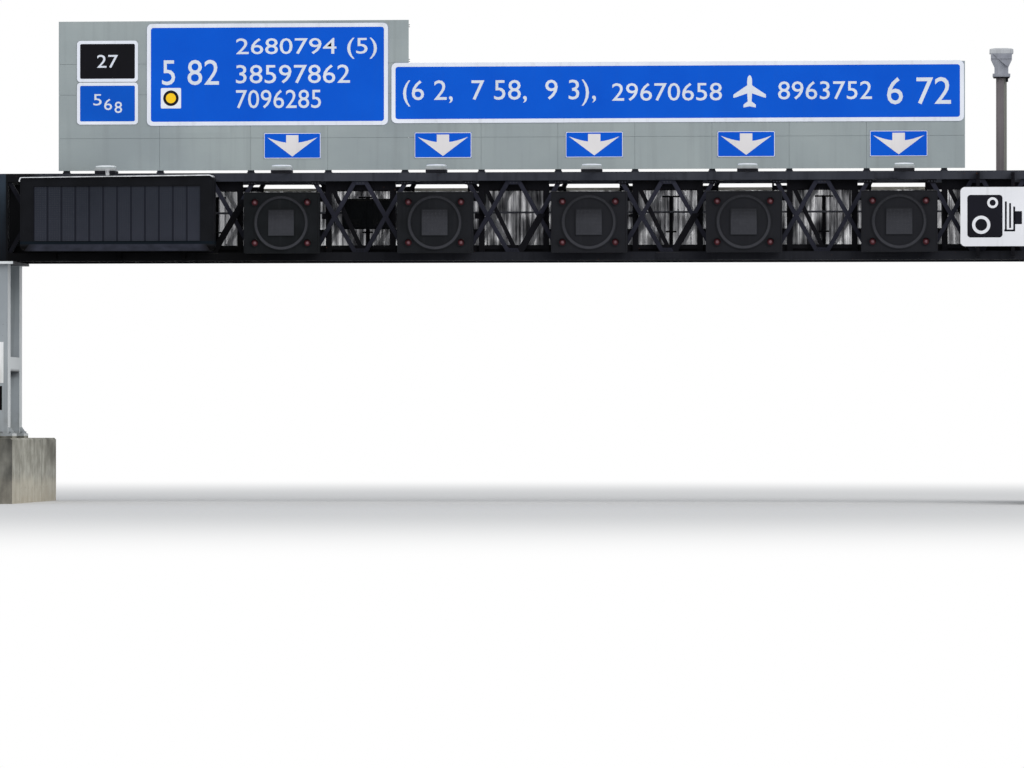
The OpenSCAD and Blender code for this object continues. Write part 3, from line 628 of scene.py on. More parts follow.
def anchor_places():
    """Ten bolts on each base plate, outside the columns and clear of the stiffeners."""
    places = []
    for low, high in solids("leg_base_plates"):
        top = low.z + BASE_PLATE_T
        for x in (low.x + ANCHOR_INSET, high.x - ANCHOR_INSET):
            places += [((x, low.y + share * (high.y - low.y), top), (0, 0, 1)) for share in (0.10, 0.5, 0.90)]
        for y in (low.y + ANCHOR_INSET, high.y - ANCHOR_INSET):
            places += [((low.x + share * (high.x - low.x), y, top), (0, 0, 1)) for share in (0.36, 0.64)]
    return places


def leg_seams():
    """Weld beads round the foot and the head of each column."""
    mesh = bmesh.new()
    for low, high in solids("leg_columns"):
        for z, lift in ((low.z, WELD_BEAD), (high.z, -WELD_BEAD)):
            for side, way, axis, start, end in ((low.x, -1, Y, low.y, high.y), (high.x, 1, Y, low.y, high.y),
                                                (low.y, -1, X, low.x, high.x), (high.y, 1, X, low.x, high.x)):
                add_prism(mesh, [(side, z), (side + way * WELD_BEAD, z), (side, z + lift)], start, end, axis)
    return mesh


def leg_fittings():
    """The blank plate and the hatch on the left leg's front, and the ears that take an earth lead."""
    column = solids("leg_columns")[0]
    face = column[0].y
    left = column[0].x + FITTING_INSET
    lock = HATCH_RIGHT - 0.05
    plate, hatch = bmesh.new(), bmesh.new()
    add_box(plate, (left, face - 0.008, PLATE_FOOT), (PLATE_RIGHT, face, PLATE_HEAD), 0.003)
    add_box(hatch, (left, face - 0.014, HATCH_FOOT), (HATCH_RIGHT, face, HATCH_HEAD), 0.005)
    add_box(hatch, (left + HATCH_RIM, face - 0.022, HATCH_FOOT + HATCH_RIM),
            (HATCH_RIGHT - HATCH_RIM, face - 0.012, HATCH_HEAD - HATCH_RIM), 0.005)
    foot, head = HATCH_LOCK_Z
    add_box(hatch, (lock, face - 0.034, foot), (lock + HATCH_LOCK_W, face - 0.02, head), 0.003)
    foot, head = EARTH_EAR_Z
    for x in (-EARTH_EAR_X, EARTH_EAR_X):
        add_box(hatch, (x - EARTH_EAR_HALF, face - 0.03, foot), (x + EARTH_EAR_HALF, face, head), 0.004)
    return plate, hatch


grey_paint = leg_paint()
bolt_zinc = zinc("bolt_zinc", (150, 154, 156), (118, 122, 125), (84, 82, 78), 60.0)
dark = dark_paint("dark_paint", (60, 62, 69), (47, 49, 57), 0.72)
dress(grey_paint, "leg_columns", "leg_webs", "leg_base_plates")
dress(cap_paint(), "leg_caps")
bolts = make_bolt_tree()
bolt_on("anchor_nuts", anchor_places(), ANCHOR_NUT, bolt_zinc)
piece("leg_weld_seams", leg_seams(), grey_paint)
white_plate, hatch = leg_fittings()
piece("blank_leg_plate", white_plate, blank_white())
piece("leg_hatch", hatch, dark)


# Beam
# Four square chords and two sides of crossed bars make a box beam, shop welded in lengths that
# are bolted together on site, with gusset plates where the bars meet the chords.
CHORDS = ("front_top_chord", "front_bottom_chord", "rear_top_chord", "rear_bottom_chord")
CHORD_END = 0.3
GUSSET_W = 0.30
GUSSET_TOP_W = 0.20
GUSSET_SIDE_W = 0.24
GUSSET_SIDE_TOP_W = 0.16
GUSSET_H = 0.09
GUSSET_T = 0.014
GUSSET_SHIFT = 0.15
GUSSET_BOLT_ROW = (-0.07, 0.0, 0.07)
SPLICE_HALF = 0.28
SPLICE_T = 0.012
SPLICE_EDGE = 0.02
SPLICE_BOLT_EDGE = 0.06
SPLICE_BOLT_ROW = (-0.22, -0.14, -0.06, 0.06, 0.14, 0.22)
BEAM_BOLT = (0.014, 0.012, 0.019, 0.003)
LATTICE_NODE_GAP = 0.06
DOUBLED_BARS = ((0, 0.72), (2, 0.53), (3, 0.53))
DOUBLING_W = 0.15
DOUBLING_T = 0.012
DOUBLING_SHIFT = 0.035
END_POST_X = 12.69
END_FRONT_DEPTH = 0.2


def middle(low, high):
    return [(a + b) / 2 for a, b in zip(low, high)]


chord_low, chord_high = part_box("front_top_chord")
low_chord_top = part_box("front_bottom_chord")[1].z
lattice_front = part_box("front_lattice")[0].y
lattice_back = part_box("rear_lattice")[1].y
signal_boxes = [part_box(f"lane_signal_{lane}") for lane in range(1, 6)]
signal_xs = [middle(*box)[X] for box in signal_boxes]
lane_pitch = signal_xs[1] - signal_xs[0]
panel_l = lane_pitch / 3


def end_frame_paint():
    """Painted bluish where the front face takes the light of the sky, and painted shade, nearly black, on the
    inner part.
    """
    material = dark_paint("end_paint", (58, 70, 83), (33, 38, 46), 0.8, 0.3)
    tree = material.node_tree
    base = tree.nodes["Principled BSDF"].inputs["Base Color"]
    x, y = axes_of(add_node(tree, "ShaderNodeTexCoord")["Object"])[:2]
    depth = chord_low.y + END_FRONT_DEPTH
    # Painted shade, near black, beyond the end posts and behind the front face.
    inner = maths("MAXIMUM", span(maths("ABSOLUTE", x), END_POST_X + 0.02, END_POST_X),
                  span(y, depth - 0.02, depth + 0.02))
    tree.links.new(wash(base.links[0].from_socket, (13, 14, 17), inner), base)
    return material


def make_gusset_tree():
    """A plate whose free edge is shorter than the one on the chord, on every point."""
    given = start_tree("gussets", chord_width="Float", free_width="Float", height="Float", thickness="Float")
    tree = given["Height"].id_data
    outline = add_node(tree, "GeometryNodeCurvePrimitiveQuadrilateral", {
        "Bottom Width": given["Chord Width"], "Top Width": given["Free Width"], "Offset": 0.0,
        "Height": given["Height"]}, mode="TRAPEZOID")
    back = add_node(tree, "GeometryNodeFillCurve", {0: outline[0]}, mode="NGONS")
    front = add_node(tree, "GeometryNodeExtrudeMesh", {
        "Mesh": back[0], "Individual": False, "Offset Scale": given["Thickness"]})
    both = both_of(front[0], add_node(tree, "GeometryNodeFlipFaces", {0: back[0]})[0])
    closed = add_node(tree, "GeometryNodeMergeByDistance", {0: both, "Distance": 0.0001})
    centred = raised(closed[0], times(given["Thickness"], -0.5))
    upright = add_node(tree, "GeometryNodeTransform", {"Geometry": centred, "Rotation": (pi / 2, 0, 0)})
    return end_tree(given, on_every_point(given, upright[0]))


def lattice_nodes():
    """The places along the chords where the bars of two panels meet."""
    first = signal_xs[0] + panel_l / 2
    count = ceil((chord_high.x - chord_low.x) / panel_l) + 2
    spots = [first + k * panel_l for k in range(-count, count)]
    return [x for x in spots if chord_low.x + CHORD_END < x < chord_high.x - CHORD_END]


def gusset_spots(beside_open):
    """Where the gussets are: x, the outward way, the lattice's face, the middle and the way from the chord.

    One beside a panel without bars stands off its node, away from the panel.
    """
    for node_x in lattice_nodes():
        lane_x = min(signal_xs, key=lambda x: abs(x - node_x))
        open_here = abs(node_x - lane_x) < panel_l
        if open_here != beside_open:
            continue
        side = (node_x > lane_x) - (node_x < lane_x)
        x = node_x + side * GUSSET_SHIFT * open_here
        for way, face in ((-1, lattice_front), (1, lattice_back)):
            for edge, up in ((low_chord_top, 1), (chord_low.z, -1)):
                if not (beside_open and way == 1 and up == -1):
                    yield x, way, face, edge + up * GUSSET_H / 2, up


def gusset_places(beside_open):
    return [((x, face + way * GUSSET_T / 2, z), (0, 0, up))
            for x, way, face, z, up in gusset_spots(beside_open)]


def gusset_bolt_places():
    return [((x + across, face + way * GUSSET_T, z), (0, way, 0))
            for beside_open in (False, True) for x, way, face, z, _ in gusset_spots(beside_open)
            for across in GUSSET_BOLT_ROW]


def doubling_bars():
    """Flats on the lower part of three lattice bars, which rise to the right beside a signal."""
    mesh = bmesh.new()
    half_chord = (chord_high.z - chord_low.z) / 2
    half_panel = panel_l / 2 - LATTICE_NODE_GAP
    foot_z, head_z = low_chord_top - half_chord, chord_low.z + half_chord
    slope = 2 * half_panel / (head_z - foot_z)
    half = DOUBLING_W / 2 * hypot(1, slope)
    for lane, share in DOUBLED_BARS:
        foot_x = signal_xs[lane] - panel_l - half_panel + DOUBLING_SHIFT
        start_z, end_z = low_chord_top, foot_z + share * (head_z - foot_z)
        start_x, end_x = (foot_x + (z - foot_z) * slope for z in (start_z, end_z))
        add_prism(mesh, [(start_x - half, start_z), (start_x + half, start_z), (end_x + half, end_z),
                         (end_x - half, end_z)], lattice_front - DOUBLING_T, lattice_front + SUNK)
    return mesh


def chord_splices():
    """Cover plates on the outer faces of the chords, where two lengths of beam meet."""
    mesh, places = bmesh.new(), []
    for x in (signal_xs[0] - 1.5 * panel_l, signal_xs[2] + 1.5 * panel_l,
              signal_xs[4] + 0.5 * panel_l - 0.9):
        for low, high in map(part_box, CHORDS):
            way = -1 if low.y < 0 else 1
            face = low.y if way < 0 else high.y
            outer = face + way * SPLICE_T
            near, far = sorted((face, outer))
            add_box(mesh, (x - SPLICE_HALF, near, low.z + SPLICE_EDGE),
                    (x + SPLICE_HALF, far, high.z - SPLICE_EDGE), 0.003)
            places += [((x + across, outer, z), (0, way, 0)) for across in SPLICE_BOLT_ROW
                       for z in (low.z + SPLICE_BOLT_EDGE, high.z - SPLICE_BOLT_EDGE)]
    return mesh, places


lattice_paint = dark_paint("lattice_paint", (46, 47, 58), (35, 36, 46), 0.3, 0.6)
# A near-black copy of the dark paint, whose darkness is painted shade, for parts inside the beam.
inner_shade_paint = dark_paint("inner_shade_paint", (18, 18, 24), (10, 10, 14), 0.5)
dress(dark, *CHORDS, "sign_posts")
dress(lattice_paint, "front_lattice", "rear_lattice", "top_bracing", "floor_bearers")
dress(inner_shade_paint, "toe_boards", "bay_frames", "signal_rails", "sign_brackets")
dress(end_frame_paint(), "left_end_frame", "right_end_frame")
gussets = make_gusset_tree()
grow_on("gusset_plates", gusset_places(False), gussets, lattice_paint, "beam_dark",
        chord_width=GUSSET_W, free_width=GUSSET_TOP_W, height=GUSSET_H, thickness=GUSSET_T)
grow_on("side_gusset_plates", gusset_places(True), gussets, inner_shade_paint, "beam_dark",
        chord_width=GUSSET_SIDE_W, free_width=GUSSET_SIDE_TOP_W, height=GUSSET_H, thickness=GUSSET_T)
bolt_on("gusset_bolts", gusset_bolt_places(), BEAM_BOLT, dark, "beam_dark")
piece("doubling_bars", doubling_bars(), inner_shade_paint)
splices, splice_places = chord_splices()
piece("chord_splices", splices, dark)
bolt_on("splice_bolts", splice_places, BEAM_BOLT, dark, "beam_dark")


# Walkway
# A floor of open steel grating on the bearers, and at the rear a screen of ribbed translucent
# sheets between posts, streaked with dirt that rain has drawn down them.
GRATE_BAR_PITCH = 0.0344
GRATE_BAR_T = 0.004
GRATE_ROD_PITCH = 0.1
GRATE_ROD_T = 0.008
SCREEN_RIB_PITCH = 0.158
SCREEN_RIB_W = 0.045
SCREEN_SHEETS = 14
SCREEN_SHEET_T = 0.006
SCREEN_LAP = 0.004
SCREEN_LETS_THROUGH = 0.5
SCREEN_CLEAR = 0.78
SCREEN_CHANNEL_H = 0.05
SCREEN_POST_W = 0.05
SCREEN_POST_LEFT = 0.72
SCREEN_POST_RIGHT = 0.61
SCREEN_HEAD_RISE = 0.04
SCREEN_HEAD_DROP = 0.07
SCREEN_EDGE_H = 0.07
RAIL_Z = 6.95
RAIL_RADIUS = 0.024
RAIL_POST_HALF = 0.046
RAIL_ARMS = ((0.22, 7.32), (0.13, 6.48))
RAIL_POST_BAYS = (-1.5, -0.5, 0.5, 2.5, 3.5, 4.5)


def make_row_tree():
    """Like bars in a row, each a step from the last."""
    given = start_tree("bar_row", count="Int", start="Vector", step="Vector", bar="Vector")
    tree = given["Count"].id_data
    line = add_node(tree, "GeometryNodeMeshLine", {
        "Count": given["Count"], "Start Location": given["Start"], "Offset": given["Step"]}, mode="OFFSET")
    bar = add_node(tree, "GeometryNodeMeshCube", {"Size": given["Bar"]})
    row = add_node(tree, "GeometryNodeInstanceOnPoints", {"Points": line[0], "Instance": bar[0]})
    return end_tree(given, row[0])


def grow_row(name, finish, slot, first, last, pitch, bar, replaced=()):
    """Bars from one place to another, at about a pitch."""
    first, last = Vector(first), Vector(last)
    gaps = max(1, round((last - first).length / pitch))
    grow(name, bpy.data.meshes.new(name + "_host"), bar_row, finish, slot, replaced,
         count=gaps + 1, start=first, step=(last - first) / gaps, bar=bar)


def screen_sheet():
    """Glass-fibre sheet, nearly clear where rain has washed it and dark where dirt stays."""
    material, where = surface("screen_sheet", 0.6)
    tree = material.node_tree
    clouds = patches(where, 2.2, 0.38, 0.62, 0.7)
    broad = patches(where, 7, 0.38, 0.62, 0.10, 4.0)
    fine = patches(where, 30, 0.38, 0.62, 0.03)
    streaked = maths("ADD", maths("ADD", times(clouds, 0.42), times(broad, 0.36)), times(fine, 0.32))
    even = maths("MULTIPLY_ADD", fine, 0.22, 0.36)
    calm = maths("MAXIMUM", span(axes_of(where)[X], -6.6, -7.0), times(facing(where, Y), 0.7))
    dirt = add_node(tree, "ShaderNodeMix", {0: calm, 2: streaked, 3: even})[0]
    colour = tint(dirt, (250, 250, 253), (70, 70, 76))
    finished(material, colour, noise(where, 60), 0.0008)
    through = add_node(tree, "ShaderNodeBsdfTranslucent", {"Color": colour})
    solid = tree.nodes["Principled BSDF"].outputs[0]
    sheet = add_node(tree, "ShaderNodeMixShader", {0: SCREEN_LETS_THROUGH, 1: solid, 2: through[0]})
    clear = times(maths("POWER", span(dirt, 1.0, 0.0), 1.5), SCREEN_CLEAR)
    gap = add_node(tree, "ShaderNodeBsdfTransparent")
    washed = add_node(tree, "ShaderNodeMixShader", {0: clear, 1: sheet[0], 2: gap[0]})
    tree.links.new(washed[0], tree.nodes["Material Output"].inputs[0])
    return material


def dull_coat(name, light, deep):
    """A plain dull paint that has weathered in clouds and a few runs."""
    material, where = surface(name, 0.6, shine=0.08)
    colour = tint(patches(where, 5, detail=5.0), light, deep)
    colour = wash(colour, [0.7 * c for c in deep], patches(where, 16, 0.5, 0.8, 0.06, 4.0), 0.35)
    return finished(material, colour, noise(where, 140), 0.0006)


def screen_sheets():
    """The sheets lap every 1.9 m, and a channel caps them above and below."""
    mesh = bmesh.new()
    width = (screen_high.x - screen_low.x) / SCREEN_SHEETS
    for i in range(SCREEN_SHEETS):
        left = screen_low.x + i * width
        back = screen_high.y - (i % 2) * 0.0015
        add_box(mesh, (left - (SCREEN_LAP if i else 0), back - SCREEN_SHEET_T + SUNK, screen_low.z),
                (left + width, back, screen_high.z))
    for z in (screen_low.z, screen_high.z - SCREEN_CHANNEL_H):
        add_box(mesh, (screen_low.x, screen_low.y, z),
                (screen_high.x, screen_low.y + SCREEN_SHEET_T, z + SCREEN_CHANNEL_H), 0.002)
    return mesh


def screen_posts():
    """Posts from the floor to the upper chord beside each signal, and the head channels between them."""
    mesh = bmesh.new()
    near, far = screen_low.y - 0.012, screen_low.y + 0.010
    half = SCREEN_POST_W / 2
    ends = [screen_low.x]
    for x in signal_xs:
        for post_x in (x - SCREEN_POST_LEFT, x + SCREEN_POST_RIGHT):
            add_box(mesh, (post_x - half, near, deck_high.z), (post_x + half, far, chord_low.z), 0.003)
        ends += [x - SCREEN_POST_LEFT + half, x + SCREEN_POST_RIGHT - half]
    ends.append(screen_high.x)
    for left, right in zip(ends[::2], ends[1::2]):
        head = chord_low.z if left > signal_xs[-1] else screen_high.z + SCREEN_HEAD_RISE
        add_box(mesh, (left, screen_low.y - 0.004, screen_high.z - SCREEN_HEAD_DROP),
                (right, screen_high.y, head), 0.004)
    return mesh


def screen_edges():
    """A pale strip along the sheets' upper edge, where no head channel covers it."""
    mesh = bmesh.new()
    half = SCREEN_POST_W / 2
    for x in signal_xs:
        add_box(mesh, (x - SCREEN_POST_LEFT + half, screen_low.y - 0.008, screen_high.z - SCREEN_EDGE_H),
                (x + SCREEN_POST_RIGHT - half, screen_low.y + 0.004, screen_high.z - 0.004), 0.002)
    return mesh


def hand_rail_tubes():
    """The level tube, and the posts with two arms each that hold it off the screen."""
    low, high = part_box("hand_rail")
    y = (low.y + high.y) / 2
    level, upright = bmesh.new(), bmesh.new()
    add_prism(level, circle(y, RAIL_Z, RAIL_RADIUS, 12), low.x, high.x, X)
    for bay in RAIL_POST_BAYS:
        x = signal_xs[0] + bay * lane_pitch
        add_box(upright, (x - RAIL_POST_HALF, y - 0.004, deck_high.z),
                (x + RAIL_POST_HALF, y + 0.018, high.z), 0.004)
        for half, z in RAIL_ARMS:
            add_box(upright, (x - half, y - 0.012, z - 0.02), (x + half, y + 0.012, z + 0.02), 0.004)
    return level, upright


bar_row = make_row_tree()
grate_zinc = zinc("grate_zinc", (120, 123, 126), (92, 95, 98), (56, 56, 56))
pale_sheet = screen_sheet()
deck_low, deck_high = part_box("walkway_floor")
deck_mid = (deck_low + deck_high) / 2
deck_size = deck_high - deck_low
half_bar = GRATE_BAR_T / 2
rod_z = deck_high.z - 0.006
grow_row("grating_bars", grate_zinc, "grating",
         (deck_low.x + half_bar, deck_mid.y, deck_mid.z), (deck_high.x - half_bar, deck_mid.y, deck_mid.z),
         GRATE_BAR_PITCH, (GRATE_BAR_T, deck_size.y, deck_size.z), ["walkway_floor"])
grow_row("grating_rods", grate_zinc, "grating",
         (deck_mid.x, deck_low.y + 0.01, rod_z), (deck_mid.x, deck_high.y - 0.01, rod_z),
         GRATE_ROD_PITCH, (deck_size.x, GRATE_ROD_T, GRATE_ROD_T))
screen_low, screen_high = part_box("rear_screen")
piece("screen_sheets", screen_sheets(), pale_sheet, ["rear_screen"])
piece("screen_posts", screen_posts(), inner_shade_paint)
edge_beige = dull_coat("edge_beige", (196, 193, 182), (168, 165, 155))
piece("screen_edges", screen_edges(), edge_beige)
rail_level, rail_upright = hand_rail_tubes()
rail_grey = dull_coat("rail_grey", (96, 97, 104), (74, 75, 82))
piece("hand_rail_tube", rail_level, rail_grey, ["hand_rail"])
piece("hand_rail_posts", rail_upright, inner_shade_paint)
rib_depth = screen_high.y - screen_low.y - SCREEN_SHEET_T
rib_y = screen_low.y + 0.003 + rib_depth / 2
rib_z = (screen_low.z + screen_high.z) / 2
grow_row("screen_ribs", pale_sheet, "galvanised", (screen_low.x + 0.08, rib_y, rib_z),
         (screen_high.x - 0.08, rib_y, rib_z), SCREEN_RIB_PITCH,
         (SCREEN_RIB_W, rib_depth - 0.006, screen_high.z - screen_low.z - 0.02))


# Signal frames
# Goal frames with a raking brace stand in the bays, bolted to the chords, and the rails between
# them carry the lane signals on short stubs.
FRAME_BOLT = (0.016, 0.014, 0.022, 0.004)
JUNCTION_BOXES = ((0, 0.065), (1, 0.065), (2, 0.03))
JUNCTION_X = (0.895, 1.0)
JUNCTION_Z = 6.81


def frame_bolt_places():
    """Bolts at the heads and feet of the goal frames, and at the ends of the rails."""
    places = []
    for low, high in solids("bay_frames"):
        for x in (low.x + 0.04, low.x + 0.10, high.x - 0.10, high.x - 0.04):
            places += [((x, high.y, z), (0, 1, 0)) for z in (low_chord_top + 0.05, chord_low.z - 0.05)]
    for low, high in solids("signal_rails"):
        for x in (low.x + 0.06, high.x - 0.06):
            places += [((x, high.y, z), (0, 1, 0)) for z in (low.z + 0.05, high.z - 0.05)]
    return places


def bracket_bolt_places():
    return [(((low.x + high.x) / 2, low.y, z), (0, -1, 0)) for low, high in solids("sign_brackets")
            for z in (low.z + 0.05, low.z + 0.13, high.z - 0.13, high.z - 0.05)]


def junction_boxes():
    """A small box for the signal's cable on the frame at its right."""
    mesh = bmesh.new()
    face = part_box("bay_frames")[0].y
    for lane, half in JUNCTION_BOXES:
        left, right = (signal_xs[lane] + across for across in JUNCTION_X)
        add_box(mesh, (left, face + 0.004, JUNCTION_Z - half),
                (right, face + 0.056, JUNCTION_Z + half), 0.004)
    return mesh


bolt_on("frame_bolts", frame_bolt_places(), FRAME_BOLT, bolt_zinc)
bolt_on("bracket_bolts", bracket_bolt_places(), FRAME_BOLT, inner_shade_paint, "beam_dark")
piece("junction_boxes", junction_boxes(), inner_shade_paint)


# Lane signals
# Each is a closed sheet housing, powder coated black, with a ring of small lamps round a square
# matrix of them, a red lantern at each corner, and a door with louvres at its back.
SIGNAL_FACE = 0.03
RIM_W = 0.028
RIM_PROUD = 0.008
RING_OUTER = 0.66
RING_INNER = 0.56
RING_LIP = 0.022
MATRIX_HALF = 0.32
MATRIX_FRAME_W = 0.014
LANTERN_X = 0.625
LANTERN_Z = 0.48
LANTERN_RADIUS = 0.095
LANTERN_WALL = 0.014
LANTERN_SIDES = 32
VISOR_T = 0.005
CORE_RADIUS = 0.036
LAMP_ROWS = (0.592, 0.618)
LAMP_PITCH = 0.032
LAMP_RADIUS = 0.008
LAMP_SIDES = 6
DOOR_INSET = 0.05
LOUVRE_X = 0.42
LOUVRE_Z = (0.22, 0.50)
LOUVRE_PITCH = 0.035
LOUVRE = (0.34, 0.012, 0.016)


def black_coat(material, where, colour):
    """A black material with dust on what faces up, and the fine grain of powder coating."""
    dust = times(facing(where, Z), patches(where, 4, 0.2, 0.6, detail=4.0))
    dusty = wash(colour, (112, 108, 100), dust, 0.75)
    return finished(material, dusty, noise(where, 240, detail=1.0), 0.0006)


def signal_coat():
    material, where = surface("signal_coat", 0.6, shine=0.06)
    colour = tint(patches(where, 2.1, detail=5.0), (24, 26, 29), (15, 17, 19))
    colour = wash(colour, (46, 46, 48), patches(where, 10, 0.55, 0.8, 0.05, 4.0), 0.3)
    colour = wash(colour, (36, 36, 41), span(axes_of(where)[X], -5.0, 1.0), 0.5)
    return black_coat(material, where, colour)


def cell_tone(where, width, height):
    """A shade of its own for each panel of an upright grid."""
    tree = where.id_data
    shares = (1 / width, 0, 1 / height)
    grid = add_node(tree, "ShaderNodeVectorMath", {0: where, 1: shares}, operation="MULTIPLY")
    panel = add_node(tree, "ShaderNodeVectorMath", {0: grid[0]}, operation="FLOOR")
    return add_node(tree, "ShaderNodeTexWhiteNoise", {"Vector": panel[0]})[0]


def tinted_screen(name, light, deep, cell, head, head_shade_fade, joints=None):
    """The dark face behind the lamps, where each module has its own tone, with painted shade towards its
    head.
    """
    material, where = surface(name, 0.42, shine=0.08)
    clouds = times(patches(where, 1.7, detail=4.0), 0.45)
    share = maths("ADD", times(cell_tone(where, cell, cell), 0.35), clouds)
    # Painted shade: darker towards the head of the face.
    colour = wash(tint(share, light, deep), head, span(axes_of(where)[Z], *head_shade_fade))
    if joints:
        colour = joints(where, colour)
    return finished(material, colour, noise(where, 320, detail=1.0), 0.0003)


def lamp_glass(name, light, deep, roughness):
    material, where = surface(name, roughness)
    colour = tint(patches(where, 14, 0.35, 0.7, detail=4.0), light, deep)
    return finished(material, colour, cells(where, 150.0)[0], 0.0012)


def oblong(low_x, low_z, high_x, high_z, radius, steps=6):
    """The outline of a rectangle with round corners."""
    middles = ((high_x - radius, high_z - radius), (low_x + radius, high_z - radius),
               (low_x + radius, low_z + radius), (high_x - radius, low_z + radius))
    turned = [(corner, pi / 2 * (quarter + k / steps))
              for quarter, corner in enumerate(middles) for k in range(steps + 1)]
    return [(x + radius * cos(turn), z + radius * sin(turn)) for (x, z), turn in turned]


def inside(low, high, inset, radius, steps=6):
    """The oblong that lies an inset inside a box, seen from the front."""
    return oblong(low.x + inset, low.z + inset, high.x - inset, high.z - inset, radius, steps)


def square(x, z, half, radius):
    return oblong(x - half, z - half, x + half, z + half, radius)


def four_corners(x, z, across, up):
    return [(x + a * across, z + b * up) for a in (-1, 1) for b in (-1, 1)]


def add_band(mesh, x, z, outer, inner, start, end, steps=64):
    """A round band, seen from the front."""
    add_ring(mesh, circle(x, z, outer, steps), circle(x, z, inner, steps), start, end)


def make_lamp_tree():
    """A short round lamp on every point."""
    given = start_tree("lamps", radius="Float", depth="Float", sides="Int")
    lamp = raised(rod(given["Sides"], given["Radius"], given["Depth"]), times(given["Depth"], 0.5))
    return end_tree(given, on_every_point(given, lamp))


def signal_housing(low, high, x, z, face):
    """The housing with its rim, ring, matrix frame, lantern tubes and visors, and the door at its back."""
    mesh = bmesh.new()
    root = face + SUNK
    add_box(mesh, (low.x, face, low.z), (high.x, high.y - 0.012, high.z), 0.012)
    add_ring(mesh, inside(low, high, 0.004, 0.03), inside(low, high, RIM_W, 0.012), face - RIM_PROUD, root)
    add_band(mesh, x, z, RING_OUTER, RING_OUTER - RING_LIP, face - 0.02, root)
    add_band(mesh, x, z, RING_INNER + 0.012, RING_INNER, face - 0.014, root)
    add_ring(mesh, square(x, z, MATRIX_HALF, 0.02), square(x, z, MATRIX_HALF - MATRIX_FRAME_W, 0.01),
             face - 0.02, root)
    for cx, cz in four_corners(x, z, LANTERN_X, LANTERN_Z):
        add_band(mesh, cx, cz, LANTERN_RADIUS, LANTERN_RADIUS - LANTERN_WALL, face - 0.03, root,
                 LANTERN_SIDES)
        outer, inner = (circle(cx, cz, radius, LANTERN_SIDES)[:LANTERN_SIDES // 2 + 1]
                        for radius in (LANTERN_RADIUS, LANTERN_RADIUS - VISOR_T))
        add_prism(mesh, outer + inner[::-1], face - 0.075, face - 0.028)
    add_box(mesh, (low.x + DOOR_INSET, high.y - 0.014, low.z + DOOR_INSET),
            (high.x - DOOR_INSET, high.y, high.z - DOOR_INSET), 0.004)
    return mesh


def lamp_places(x, z, face):
    """The two rows of lamps in the ring, and the square matrix."""
    places = []
    for radius in LAMP_ROWS:
        row = circle(x, z, radius, int(2 * pi * radius / LAMP_PITCH))
        places += [((px, face - 0.006, pz), (0, -1, 0)) for px, pz in row]
    count = int(2 * (MATRIX_HALF - 0.03) / LAMP_PITCH)
    steps = [(i - (count - 1) / 2) * LAMP_PITCH for i in range(count)]
    return places + [((x + a, face - 0.016, z + b), (0, -1, 0)) for a in steps for b in steps]


def matrix_plate(x, z, face):
    mesh = bmesh.new()
    half = MATRIX_HALF - 0.012
    add_box(mesh, (x - half, face - 0.016, z - half), (x + half, face + 0.001, z + half), 0.002)
    return mesh


def ring_plate(x, z, face):
    mesh = bmesh.new()
    add_band(mesh, x, z, RING_OUTER - 0.01, RING_INNER + 0.006, face - 0.006, face + 0.001)
    return mesh


def add_dome(mesh, x, z, radius, foot, depth, steps=24):
    """A shallow dome that looks along -Y, from behind its foot to its flat tip."""
    rings = [at_depth(circle(x, z, radius, steps), Y, foot + 0.004)]
    for share in (1.0, 0.75, 0.5, 0.25):
        turn = pi / 2 * share
        rings.append(at_depth(circle(x, z, radius * sin(turn), steps), Y, foot - depth * cos(turn)))
    add_skin(mesh, rings)


def lantern_glass(x, z, face):
    """A shallow dome of dark red glass in each lantern, and the paler lamp at its middle."""
    lenses, cores = bmesh.new(), bmesh.new()
    for cx, cz in four_corners(x, z, LANTERN_X, LANTERN_Z):
        add_dome(lenses, cx, cz, LANTERN_RADIUS - 0.016, face - 0.003, 0.020)
        add_dome(cores, cx, cz, CORE_RADIUS, face - 0.018, 0.014, 16)
    return lenses, cores


lamps = make_lamp_tree()
signal_black = signal_coat()
signal_z = middle(*signal_boxes[0])[Z]
matrix_face = tinted_screen("matrix_face", (56, 57, 62), (46, 47, 52), 0.16, (34, 35, 39),
                            (signal_z + 0.02, signal_z + 0.26))
ring_face = tinted_screen("ring_face", (60, 61, 66), (49, 50, 55), 0.3, (38, 39, 43),
                          (signal_z - 0.30, signal_z + 0.45))
lamp_dark = lamp_glass("lamp_dark", (62, 62, 68), (46, 46, 52), 0.5)
lens_red = lamp_glass("lens_red", (74, 26, 33), (54, 16, 22), 0.5)
lens_core = lamp_glass("lens_core", (128, 92, 98), (98, 66, 73), 0.6)

for lane, (low, high) in enumerate(signal_boxes, 1):
    name = f"lane_signal_{lane}"
    x, _, z = middle(low, high)
    face = low.y + SIGNAL_FACE
    piece(f"{name}_housing", signal_housing(low, high, x, z, face), signal_black, [name])
    piece(f"{name}_matrix", matrix_plate(x, z, face), matrix_face)
    grow_on(f"{name}_lamps", lamp_places(x, z, face), lamps, lamp_dark, "display",
            radius=LAMP_RADIUS, depth=0.004, sides=LAMP_SIDES)
    piece(f"{name}_ring", ring_plate(x, z, face), ring_face)
    lenses, cores = lantern_glass(x, z, face)
    piece(f"{name}_lenses", lenses, lens_red)
    piece(f"{name}_lens_cores", cores, lens_core)
    for side, louvre_x in (("left", x - LOUVRE_X), ("right", x + LOUVRE_X)):
        foot, head = ((louvre_x, high.y - 0.006, low.z + rise) for rise in LOUVRE_Z)
        grow_row(f"{name}_louvres_{side}", signal_black, "signal_black", foot, head, LOUVRE_PITCH, LOUVRE)


